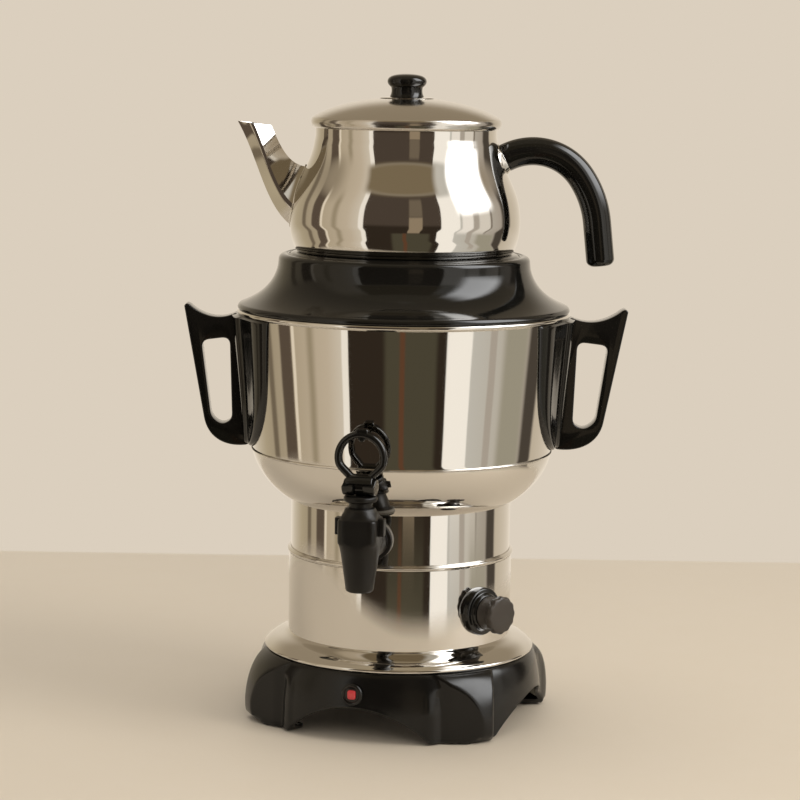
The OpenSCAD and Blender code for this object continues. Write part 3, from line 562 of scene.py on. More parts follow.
def red_lens():
    # Clear red polycarbonate over a small lamp: glossy outside, with lighter patches at random that stand for the
    # lamp's light as painted light.
    finish, tree, shader, place = surface(
        "red_polycarbonate", "#c8383a", IOR=1.58, Roughness=0.18, Transmission_Weight=0.25
    )
    tint(tree, shader, noise(tree, place, 3.0), "#b82d33", "#d64a4a")
    # A faint painted glow: the lens itself emits red light for the lamp lit behind it.
    shader.inputs["Emission Color"].default_value = colour("#d8343a")
    shader.inputs["Emission Strength"].default_value = 0.12
    bump(tree, shader, noise(tree, place, 1.2), 0.03)
    return finish


def plated_metal(name, base, rough, grain_mm, depth_mm, mottled=None):
    """A small metal part: base colour, roughness range, grain and, where named, a second shade."""
    finish, tree, shader, place = surface(name, base, Metallic=1.0)
    grain = noise(tree, place, grain_mm, 3.0)
    dull(tree, shader, grain, *rough)
    if mottled:
        tint(tree, shader, noise(tree, place, grain_mm * 6), base, mottled)
    bump(tree, shader, grain, depth_mm)
    return finish


def lamp_glass():
    # The neon lamp's glass: clear, with an orange glow inside.
    finish, tree, shader, place = surface(
        "lamp_glass", "#e8b48c", IOR=1.5, Roughness=0.05, Transmission_Weight=0.8
    )
    tint(tree, shader, noise(tree, place, 2.0), "#e0a070", "#f0c8a4")
    return finish


def make_finishes():
    """Every material of the object, by the record's slot."""
    return {
        "polished_steel": buffed_steel(),
        "satin_steel": satin_steel(),
        # Moulded heat-proof plastic with a deep gloss: near black, a little orange peel, faint hazing.
        "black_gloss_plastic": moulded(
            "moulded_gloss_plastic", "#0e0e0c", 1.46, (14, 3.0), (0.06, 0.12), (30, 2.0), ("#0e0e0c", "#131210"),
            [(3.2, 2.0, 0.012)],
        ),
        # The base is the same plastic, less polished: it keeps long soft highlights on its mouldings.
        "base_plastic": moulded(
            "moulded_base_plastic", "#0c0b0a", 1.42, (10, 3.0), (0.15, 0.24), (40, 2.0), ("#0a0a09", "#0f0e0c"),
            [(2.6, 2.0, 0.012), (0.7, 2.0, 0.004)],
        ),
        # The tap is moulded in an unpolished nylon: dull, with a fine spark-eroded grain.
        "black_matte_plastic": moulded(
            "unpolished_nylon", "#12100e", 1.38, (0.8, 2.0), (0.32, 0.42), (9, 2.0), ("#0f0d0b", "#151310"),
            [(0.8, 2.0, 0.02)],
        ),
        "knob_plastic": knob_plastic(),
        "red_lens_plastic": red_lens(),
        # Zinc-plated mild steel: bluish grey with a slight spangle.
        "zinc_plated_steel": plated_metal("zinc_plate", "#b9b8b4", (0.25, 0.42), 1.5, 0.01, "#a9a9a8"),
        # Heater tube: an alloy sheath dulled and browned by heat.
        "dark_sheathed_steel": plated_metal("heat_tinted_sheath", "#7d766a", (0.35, 0.55), 1.2, 0.02, "#5f564c"),
        "aluminium_sheet": plated_metal("rolled_aluminium", "#cfcdc8", (0.3, 0.42), 2.0, 0.008, "#c2c0bb"),
        "nickel_brass": plated_metal("nickelled_brass", "#cfc8b4", (0.18, 0.3), 1.0, 0.008, "#c0b692"),
        "blackened_steel": plated_metal("black_oxide_steel", "#2a2825", (0.3, 0.45), 0.8, 0.008, "#211f1d"),
        "copper": plated_metal("drawn_copper", "#b87a52", (0.25, 0.4), 1.0, 0.01, "#96583a"),
        # Steatite: white, hard and slightly speckled.
        "ceramic_white": moulded_part("steatite", "#e6e0d2", (0.45, 0.6), 0.8, 0.02, "#d8cfbd", 1.55),
        "wire_insulation": moulded_part("woven_glass_sleeve", "#8a5a3a", (0.55, 0.7), 0.6, 0.03, "#744a30"),
        "lamp_glass": lamp_glass(),
        "black_rubber": moulded_part("moulded_rubber", "#262522", (0.65, 0.8), 0.9, 0.04, "#2f2d2a", 1.52),
        "seal_rubber": moulded_part("silicone_seal", "#8f8c86", (0.5, 0.65), 0.8, 0.02, "#837f78", 1.41),
        "dark_cover_plastic": moulded_part("textured_cover", "#3c3a36", (0.5, 0.65), 1.0, 0.05, "#45423d"),
        "white_nylon": moulded_part("cast_nylon", "#dcd8cc", (0.4, 0.55), 1.0, 0.02, "#cfc9ba", 1.53),
    }


# ---------------------------------------------------------------- sizes and colours a user would change
class SamovarSizes(bpy.types.PropertyGroup):
    """Sizes of the samovar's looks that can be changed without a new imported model."""

    sheet: FloatProperty(
        name="Steel sheet", description="Thickness of the spun steel walls", default=0.0008, unit="LENGTH"
    )
    foot_edge: FloatProperty(
        name="Foot edge", description="Rounding of a foot's outer upright edge", default=0.0025, unit="LENGTH"
    )
    grip_bevel: FloatProperty(
        name="Grip edge", description="Rounding of the edges of the tank grips", default=0.0009, unit="LENGTH"
    )
    knob_lobes: IntProperty(name="Knob lobes", description="Finger lobes round the knob", default=12, min=3)
    handle_ridge: FloatProperty(
        name="Handle ridge",
        description="Height of the ridges along the teapot's handle, as a share of its radius",
        default=0.02,
        subtype="FACTOR",
    )
    strainer_pitch: FloatProperty(
        name="Strainer pitch", description="Distance between the strainer's holes", default=0.0056, unit="LENGTH"
    )


class SamovarColours(bpy.types.PropertyGroup):
    """Colours of the stage round the samovar."""

    wall: FloatVectorProperty(
        name="Wall", description="Colour of the backdrop", size=4, subtype="COLOR", default=colour("#dbcfbe")
    )
    table: FloatVectorProperty(
        name="Table", description="Colour of the table top", size=4, subtype="COLOR", default=colour("#d9ccb9")
    )


# ---------------------------------------------------------------- base
BASE_TURN = -18.0
FEET = [BASE_TURN + 45 + 90 * i for i in range(4)]
ARCHES = [BASE_TURN + 90 * i for i in range(4)]
BASE_LOW, BASE_TOP, BASE_CEILING, BASE_WALL = 1.2, 46.0, 43.5, 2.8
# Heights, and distances from the axis, of what the base carries.
INLET_H, INLET_OUT, PAD_OUT, SCREW_OUT = 34.6, 96, 94.5, 72
WALL_SIDE = bez((90, 46), (93, 44), (95, 36), (96.5, 20), 24) + [(97, 1.2)]
FOOT_SIDE = bez((92, 45), (100, 40), (105, 28), (106, 14), 24)
FOOT_SIDE += [(105.9, 8.0), (105.2, 4.8), (103.8, 2.6), (101.6, 1.2)]
ARCH_H, ARCH_W = 23.5, 100.0
# A foot's plan, in degrees from the middle of the front or back edge: a groove, a step, a flat facet, the
# round shoulder, and the steep flank towards the side arch.
GROOVE, STEP, FACET_WAY, FACET_OUT, SHOULDER_END = (29.5, 36.2), 35.9, 22.0, 93.7, 54.0


def side_at(line, z):
    """Radius of a falling outline at that height."""
    return between(sorted((p[1], p[0]) for p in line), z)


def base_radius(angle, z, edge):
    """How far the base's outer face is from the axis. The feet stand proud of a round wall."""
    reach = side_at(WALL_SIDE, z)
    from_front = abs((angle - BASE_TURN + 180) % 360 - 180)
    turn = min(from_front, 180 - from_front)
    if turn < 24 or turn > 68:
        return reach
    low = 1 - ease(31, 38, z)
    reach += 0.5 * low * ease(27, GROOVE[0], turn) * (1 - ease(GROOVE[0], 33, turn))
    reach -= 2.2 * low * ease(31.5, GROOVE[1], turn) * (1 - ease(GROOVE[1] + 1, 41, turn))
    foot = side_at(FOOT_SIDE, z)
    foot = blend_min(foot, FACET_OUT / math.cos(math.radians(turn - FACET_WAY)), 0.7)
    foot = blend_min(foot, 94.9 + (turn - STEP) * 1.08, 0.6)
    # The front right foot is the narrowest; the back ones run out gently towards the side arches.
    narrow = 4.0 if (angle - BASE_TURN) % 360 > 90 else 0.0
    fall = 2.6 if from_front < 90 else 1.2
    foot = blend_min(foot, 106.4 - (turn - SHOULDER_END - narrow) * fall, edge)
    return blend_max(reach, foot, 0.9)


def base_foot_line(angle, radius):
    """Height of the base's lower edge: arches between the feet."""
    arch_r = ((ARCH_W / 2) ** 2 + ARCH_H**2) / (2 * ARCH_H)
    low = BASE_LOW
    for arch in ARCHES:
        turn = math.radians((angle - arch + 180) % 360 - 180)
        if abs(turn) < math.radians(40):
            x = radius * math.sin(turn)
            if abs(x) < arch_r:
                low = max(low, ARCH_H - arch_r + math.sqrt(arch_r * arch_r - x * x))
    return low


class SAMOVAR_OT_base(bpy.types.Operator):
    """Builds the moulded base with its four feet, pads, cover screws and inlet."""

    bl_idname = "samovar.base"
    bl_label = "Base and feet"

    def execute(self, context):
        edge = context.scene.samovar_sizes.foot_edge / MM
        steps = [-45 + 3 * k for k in range(9)] + [-18 + 0.4 * k for k in range(95)] + [20, 24, 28, 32, 36, 40, 42.5]
        angles = [foot + k for foot in FEET for k in steps]
        columns = [self.column(a, edge) for a in angles]
        rings = [[(0, 0, BASE_TOP)]] + [[self.spot(a, r, BASE_TOP) for a in angles] for r in (40, 86.5)]
        rings += [[self.spot(a, r, z) for a, (r, z) in zip(angles, row)] for row in zip(*columns)]
        rings += [[self.spot(a, 60, BASE_CEILING) for a in angles], [(0, 0, BASE_CEILING)]]
        points, faces = skin(rings[::-1])
        shell = tidy(make("base_moulding", points, faces, "base_plastic"), 40, 0.002)
        at, hole = radial(BASE_TURN + 180, INLET_H), rounded_rectangle(27, 18.6, 1)
        cut(shell, slab("inlet_cut", [hole], 70, 110, 0.01, at, "base_plastic"))
        loops = [rounded_rectangle(32, 21.6, 1.5), hole[::-1]]
        seat = slab("inlet_seat", loops, 88, INLET_OUT, 0.4, at, "base_plastic")
        fit(join("base_moulding", [shell, seat], 40), "boiler", "black_gloss_plastic", "base_shell")
        self.inlet()
        self.pads(context)
        return {"FINISHED"}

    def column(self, angle, edge, rows=34):
        """Points (radius, height) in one direction: down the outer face, round the lower edge and up inside."""
        low = BASE_LOW
        for _ in range(3):
            low = base_foot_line(angle, base_radius(angle, low + 1, edge))
        levels = [BASE_TOP - (BASE_TOP - low) * (0.5 * t * t + 0.5 * t) for t in (k / rows for k in range(rows))]
        out = [(base_radius(angle, z, edge), z) for z in levels + [low]]
        out[0] = (89.2, BASE_TOP)
        # A rounded lower edge, the wall's thickness, and the floor of a foot inside it.
        r, foot = out[-1][0], 1 - ease(1.3, 5.0, low)
        out[-1] = (r - 0.8, low)
        out[-2] = (r, min(low + 0.9, out[-2][1]))
        inner = r - BASE_WALL
        floor = 84 * foot + inner * (1 - foot)
        out += [(inner + (floor - inner) * 0.5, low), (floor, low)]
        out += [(floor, low + BASE_WALL * foot), (inner, low + BASE_WALL * foot + 0.1)]
        levels = [low + 3 + (BASE_CEILING - low - 3) * share for share in (0.25, 0.5, 0.75)]
        return out + [(base_radius(angle, z, edge) - BASE_WALL, z) for z in levels] + [(87.0, BASE_CEILING)]

    def spot(self, angle, radius, z):
        """A point at that direction, distance from the axis and height."""
        a = math.radians(angle)
        return (radius * math.sin(a), -radius * math.cos(a), z)

    def inlet(self):
        """The three-pin inlet: a rounded frame with a deep socket round its pins."""
        place, black = radial(BASE_TURN + 180, INLET_H, INLET_OUT), "black_gloss_plastic"
        socket = rounded_rectangle(24, 15.6, 1.4)[::-1]
        parts = [
            slab(name, loops, low, high, bevel, place, black)
            for name, loops, low, high, bevel in (
                ("inlet_frame", [rounded_rectangle(31, 21, 2.2), socket], 0, 2, 0.5),
                ("inlet_tube", [rounded_rectangle(27, 18.6, 1.2), socket], -18.9, 0.4, 0.2),
                ("inlet_back", [rounded_rectangle(26.6, 18.2, 1.0)], -18.6, -15, 0.2),
            )
        ]
        fit(join("power_inlet_moulding", parts), "boiler", black, "power_inlet")

    def pads(self, context):
        """Four rubber pads and four cover screws, each set repeated round the axis."""
        round_axis = ring_tree()

        def four(piece, slot, node):
            """Four of the piece, one at each foot."""
            grow(piece, round_axis, count=4, first_angle=math.radians(FEET[0]), material=slot)
            fit(shade(piece), "boiler", slot, node)

        pad = soften([(0, 0), (5.2, 0), (5.2, 2.8), (0, 2.8)], 0.8, 5)
        pad = lathe("foot_pad_ring", pad, "black_rubber", 48, Matrix.Translation((0, -PAD_OUT, 0)))
        four(pad, "black_rubber", "foot_pads")
        screw = soften([(0, 23.5), (0.01, 23.5), (3.2, 24.1), (3.2, 25.5), (1.5, 25.5), (1.5, 36.5), (0, 36.5)], 0.3, 3)
        place = Matrix.Translation((0, -SCREW_OUT, 0))
        head = lathe("cover_screw_ring", screw, "zinc_plated_steel", 48, place)
        for angle in (0, 90):
            slot = [rounded_rectangle(4.0, 0.9, 0.3)]
            cut(head, slab("screw_recess", slot, 22, 24.4, 0.05, place @ turned(angle), "zinc_plated_steel"))
        four(head, "zinc_plated_steel", "cover_screws")


LAMP_H, LAMP_FACE = 32.7, 95.8


class SAMOVAR_OT_lamp(bpy.types.Operator):
    """Builds the indicator lamp: a round bezel in the base and a red lens."""

    bl_idname = "samovar.lamp"
    bl_label = "Indicator lamp"

    def execute(self, context):
        place = radial(BASE_TURN, LAMP_H, LAMP_FACE)
        black = "black_gloss_plastic"

        def ring(name, radius, low, high, bevel):
            """A round plate with the lens's window in it."""
            loops = [arc((0, 0), radius, 0, 360 - 7.5, 47), rounded_rectangle(5.52, 6.02, 1.5)[::-1]]
            return slab(name, loops, low, high, bevel, place, black)

        tube = ring("lamp_bezel_tube", 4.98, -9, 0.6, 0.1)
        rim = soften([(4.6, -1.2), (7.2, -1.2), (7.2, 0.9), (6.3, 1.8), (5.2, 1.5), (4.6, 0.5)], 0.35, 4)
        rim = lathe("lamp_bezel_rim", rim, black, 96, place)
        floor = ring("lamp_bezel_floor", 5.0, 0.3, 0.9, 0.08)
        fit(join("lamp_bezel", [tube, rim, floor]), "boiler", black, "indicator_bezel")
        rings = []
        for z, share in ((-5, 1), (1.2, 1), (1.8, 0.97), (2.15, 0.86), (2.35, 0.6), (2.4, 0.3)):
            rings.append([(x * share, y * share, z) for x, y in rounded_rectangle(5.5, 6.0, 1.5)])
        points, faces = skin(rings + [[(0, 0, 2.4)]])
        lens = make("lamp_lens", [place @ Vector(p) for p in points], faces, "red_lens_plastic", 50)
        fit(tidy(lens, 50), "boiler", "red_lens_plastic", "indicator_lens")
        return {"FINISHED"}


# ---------------------------------------------------------------- flange, housing, neck, bowl, drum
HOUSING_R, HOUSING_TOP = 75.0, 110.4
NECK_R, NECK_LOW, NECK_TOP = 73.7, 113.0, 146.7
FLANGE_TOP, ROLL_R = 57.5, 1.5
DRUM_LOW, DRUM_LOW_R, DRUM_TOP_R, TANK_H = 179.8, 100.2, 109.5, 274.0


def drum_r(z):
    """Radius of the drum's outer face."""
    return DRUM_LOW_R + (DRUM_TOP_R - DRUM_LOW_R) * (z - DRUM_LOW) / (TANK_H - 3 - DRUM_LOW)


class SAMOVAR_OT_boiler(bpy.types.Operator):
    """Builds the spun steel of the boiler: flange, heater housing, seam ring, neck, bowl and drum."""

    bl_idname = "samovar.boiler"
    bl_label = "Boiler walls"

    def execute(self, context):
        sheet = context.scene.samovar_sizes.sheet / MM
        roll = (89.3, 46 + ROLL_R)
        # The flange's top runs down to the point at 60 degrees on its rolled edge.
        lip = arc(roll, ROLL_R, 60, 60, 1)[0]
        top = bez((HOUSING_R, FLANGE_TOP), (HOUSING_R + 2.5, 54.5), (84, 55.2), lip, 28)
        spigot = HOUSING_R - sheet
        flange = [(spigot - sheet, FLANGE_TOP + 5), (spigot, FLANGE_TOP + 5), (spigot, FLANGE_TOP)]
        flange += top + arc(roll, ROLL_R, 50, -200, 20)
        flange += [(r, z - sheet) for r, z in top[:-3]][::-1] + [(spigot - sheet, FLANGE_TOP - sheet)]
        housing = wall([(HOUSING_R, FLANGE_TOP), (HOUSING_R, 84), (HOUSING_R, HOUSING_TOP)], sheet)
        seam = [(NECK_R - 1.6, HOUSING_TOP), (HOUSING_R - 0.1, HOUSING_TOP)]
        seam += arc((HOUSING_R - 0.1, HOUSING_TOP + 1.9), 1.1, -75, 75, 12)
        seam += [(HOUSING_R - 0.1, HOUSING_TOP + 3.6), (NECK_R + 0.02, HOUSING_TOP + 3.6)]
        seam += [(NECK_R + 0.02, NECK_LOW), (NECK_R - 1.6, NECK_LOW)]
        neck = wall([(NECK_R, NECK_LOW), (NECK_R, 130), (NECK_R, NECK_TOP)], sheet)
        side = bez((NECK_R, NECK_TOP), (83, 151), (97, 163.5), (DRUM_LOW_R, DRUM_LOW - 0.16), 40)
        rolled = (DRUM_TOP_R - 0.1, TANK_H - 1.6)
        outer = [(DRUM_LOW_R - 0.1, DRUM_LOW)] + arc((DRUM_LOW_R + 0.2, DRUM_LOW + 0.8), 0.8, -80, 95, 10)
        outer += [(drum_r(z), z) for z in (182.2, 184, 190, 200, 215, 230, 245, 255, 262, 266, 268.6, 270.3)]
        outer += arc(rolled, 1.6, -55, 180, 16)
        inner = [(drum_r(270) - sheet, 270.4), (drum_r(182) - sheet, 182), (DRUM_LOW_R - sheet, DRUM_LOW)]
        for name, outline, node in (
            ("flange_spun", flange[::-1], "trim_flange"),
            ("housing_spun", housing, "heater_housing"),
            ("seam_bead", soften(seam, 0.3), "seam_ring"),
            ("neck_spun", neck, "tank_neck"),
            ("bowl_spun", wall(side, sheet), "tank_bowl"),
            ("drum_spun", outer + inner, "tank_drum"),
        ):
            fit(lathe(name, outline, "polished_steel", 256), "boiler", "polished_steel", node)
        return {"FINISHED"}


# ---------------------------------------------------------------- grips
TIP = (148.6, 276.3)
SHIELD_HALF = sorted((z, y) for y, z in bez((0, 181.2), (58, 181), (56, 222), (67, 270.4), 30))


def grip_window(widen):
    """The finger window's corners, rounded more at the top than below."""
    corners = [(116, 254.4), (136.2, 252), (129, 200.4), (121.4, 195.2), (114, 199)]
    corners = [(x + max(x - DRUM_TOP_R, 0) * (widen - 1), z) for x, z in corners]
    return [
        p
        for i, here in enumerate(corners)
        for p in rounded(corners[i - 1], here, corners[(i + 1) % len(corners)], 5.6 if i < 2 else 4.4, 8, 0.46)
    ]


def shield_height(share):
    """How far the shield stands off the drum across its half width, from its middle (0) to its edge (1)."""
    profile = [(0, 5.4), (0.40, 5.4), (0.44, 4.9), (0.47, 3.5), (0.52, 2.6), (0.60, 2.3), (0.72, 2.4), (0.80, 3.0)]
    return between(profile + [(0.86, 3.2), (0.92, 2.9), (0.97, 2.0), (1.0, 0.9)], share)


class SAMOVAR_OT_grips(bpy.types.Operator):
    """Builds the two black grips of the tank: a flat plate with a finger window on a curved shield."""

    bl_idname = "samovar.grips"
    bl_label = "Tank grips"

    def execute(self, context):
        bevel = context.scene.samovar_sizes.grip_bevel / MM
        for name, node, side, widen in (
            ("left_grip_moulding", "left_grip", -1, 0.94),
            ("right_grip_moulding", "right_grip", 1, 1.03),
        ):
            parts = [self.plate(name + "_plate", side, widen, bevel), self.shield(name + "_shield", side)]
            fit(join(name, parts, 38), "boiler", "black_gloss_plastic", node)
        return {"FINISHED"}

    def plate(self, name, side, widen, bevel):
        """The flat grip: its outline from the drum's foot round the tip and back along the top."""
        outline = bez((103.5, DRUM_LOW + 2.2), (118, DRUM_LOW + 0.2), (131, 185.5), (134, 200), 18)
        outline += arc((TIP[0] - 2.2, TIP[1] - 2), 2, 10, 100, 8)
        outline += bez((TIP[0] - 4, TIP[1] - 0.6), (136, 268.4), (124, 265), (112.5, 270.3), 20)
        outline += [(drum_r(268) + 0.6, 270.3), (drum_r(225) + 0.6, 225), (drum_r(184) + 0.6, 184)]
        outline = [(x + max(x - DRUM_TOP_R, 0) * (widen - 1), z) for x, z in outline]
        outline, window = soften(outline, 1.6, 5, 25), grip_window(widen)
        if side < 0:
            outline = [(-x, z) for x, z in outline][::-1]
            window = [(-x, z) for x, z in window][::-1]
        place = Matrix.Rotation(math.pi / 2, 4, "X")
        return slab(name, [outline, window], -7.5, 7.5, bevel, place, "black_gloss_plastic")

    def shield(self, name, side):
        """The fluted plate that lies on the drum, round at its foot."""
        shares = [0, 0.2, 0.34, 0.40, 0.42, 0.44, 0.455, 0.47, 0.49, 0.52, 0.56, 0.62, 0.70, 0.76]
        shares += [0.80, 0.83, 0.86, 0.89, 0.92, 0.945, 0.97, 0.985, 1.0]
        across = [-s for s in shares[:0:-1]] + shares
        levels = [181.25, 181.6, 182.2, 183, 184, 186, 189, 193, 198, 204]
        levels += [211 + 6 * k for k in range(10)] + [268, 269.4, 270.2, 270.5]
        rings = []
        for z in levels:
            half = max(between(SHIELD_HALF, z), 0.6)
            end = ease(181.2, 184.5, z) * (1 - 0.75 * ease(269.2, 270.5, z))
            rim = 0.5 + 0.5 * end
            front, back = [], []
            for share in across:
                y = share * half
                stand = 0.3 + (shield_height(abs(share)) - 0.3) * rim * (0.25 + 0.75 * end)
                out, seat = drum_r(z) + stand, drum_r(z) + 0.05
                front.append((side * math.sqrt(out * out - y * y), y, z))
                back.append((side * math.sqrt(seat * seat - y * y), y, z))
            rings.append(front + back[::-1])
        # The two ends are closed by strips in place of the single caps.
        points, faces = skin(rings)
        faces = faces[:-2]
        n = len(across)
        for start in (0, len(points) - 2 * n):
            for k in range(n - 1):
                faces.append([start + k, start + k + 1, start + 2 * n - 2 - k, start + 2 * n - 1 - k])
        return tidy(make(name, points, faces, "black_gloss_plastic", 38), 38, 0.001)


# ---------------------------------------------------------------- collar and seat ring
COLLAR_NECK_R, COLLAR_TOP, LEDGE, STEAM_R, SPIGOT_R, SPIGOT_LOW = 84.2, 311.0, 309.0, 60.0, 106.2, 264.0
POT_LOW = 312.2


class SAMOVAR_OT_collar(bpy.types.Operator):
    """Builds the black collar over the tank and the stepped ring that the teapot stands on."""

    bl_idname = "samovar.collar"
    bl_label = "Collar"

    def execute(self, context):
        black = "black_gloss_plastic"
        flare = bez((107.5, 278.4), (94.2, 283.8), (86.4, 292), (COLLAR_NECK_R, 303), 36)
        outer = [(110.4, TANK_H + 0.05), (110.75, TANK_H + 0.9), (110.8, TANK_H + 1.6), (110.2, TANK_H + 2.8)]
        outer += [(109.3, 277.7)] + flare
        outer += arc((COLLAR_NECK_R - 4.4, COLLAR_TOP - 4), 4, 0, 90, 12)
        steps = [(79.2, COLLAR_TOP), (78.8, COLLAR_TOP - 0.5), (77.9, COLLAR_TOP - 0.5), (77.5, COLLAR_TOP)]
        inside = [(76.6, COLLAR_TOP), (76.6, LEDGE), (STEAM_R, LEDGE), (STEAM_R, LEDGE - 2.5)]
        inside += [(COLLAR_NECK_R - 5, LEDGE - 2.5)] + [(r - 2.5, z - 1.8) for r, z in flare][::-1]
        inside += [(SPIGOT_R - 2.5, TANK_H), (SPIGOT_R - 2.5, SPIGOT_LOW), (SPIGOT_R, SPIGOT_LOW)]
        inside += [(SPIGOT_R, TANK_H + 0.05)]
        collar = lathe("collar_moulding", soften(outer + steps + inside, 0.35), black, 256)
        fit(collar, "collar_body", "black_gloss_plastic", "collar")
        seat = [(STEAM_R - 0.4, LEDGE), (76, LEDGE), (76.4, LEDGE + 1.4), (75.6, LEDGE + 2.2)]
        seat += [(74.2, POT_LOW - 0.4), (73, POT_LOW), (STEAM_R - 0.4, POT_LOW)]
        ring = lathe("seat_ring_moulding", soften(seat, 0.35), black, 256)
        fit(ring, "collar_body", "black_gloss_plastic", "teapot_seat_ring")
        return {"FINISHED"}


# ---------------------------------------------------------------- tap
TAP_TURN, TAP_REACH, PIN_H, SHANK_H, BONNET_TOP = -13.0, 113.0, 172.0, 131.0, 166.5
STEM_LIFT, LEVER_TILT = 4.0, 75.0


def tap_frame():
    """The outlet's axis, upright in the tap's direction."""
    return turned(TAP_TURN) @ Matrix.Translation((0, -TAP_REACH, 0))


def rounded_square(half, corner, z, count=64):
    """A ring of points: a circle where corner is half, nearly square where it is small."""
    out = []
    for a in (2 * math.pi * k / count for k in range(count)):
        c, s = math.cos(a), math.sin(a)
        # Distance to the border of a square with round corners, along this direction.
        m = half - corner
        x, y = abs(c), abs(s)
        r = half / max(x, y)
        if m <= 1e-9:
            r = half
        elif (root := ((x + y) * m) ** 2 - 2 * m * m + corner * corner) > 0:
            hit = (x + y) * m + math.sqrt(root)
            if hit * x > m and hit * y > m:
                r = hit
        out.append((r * c, r * s, z))
    return out


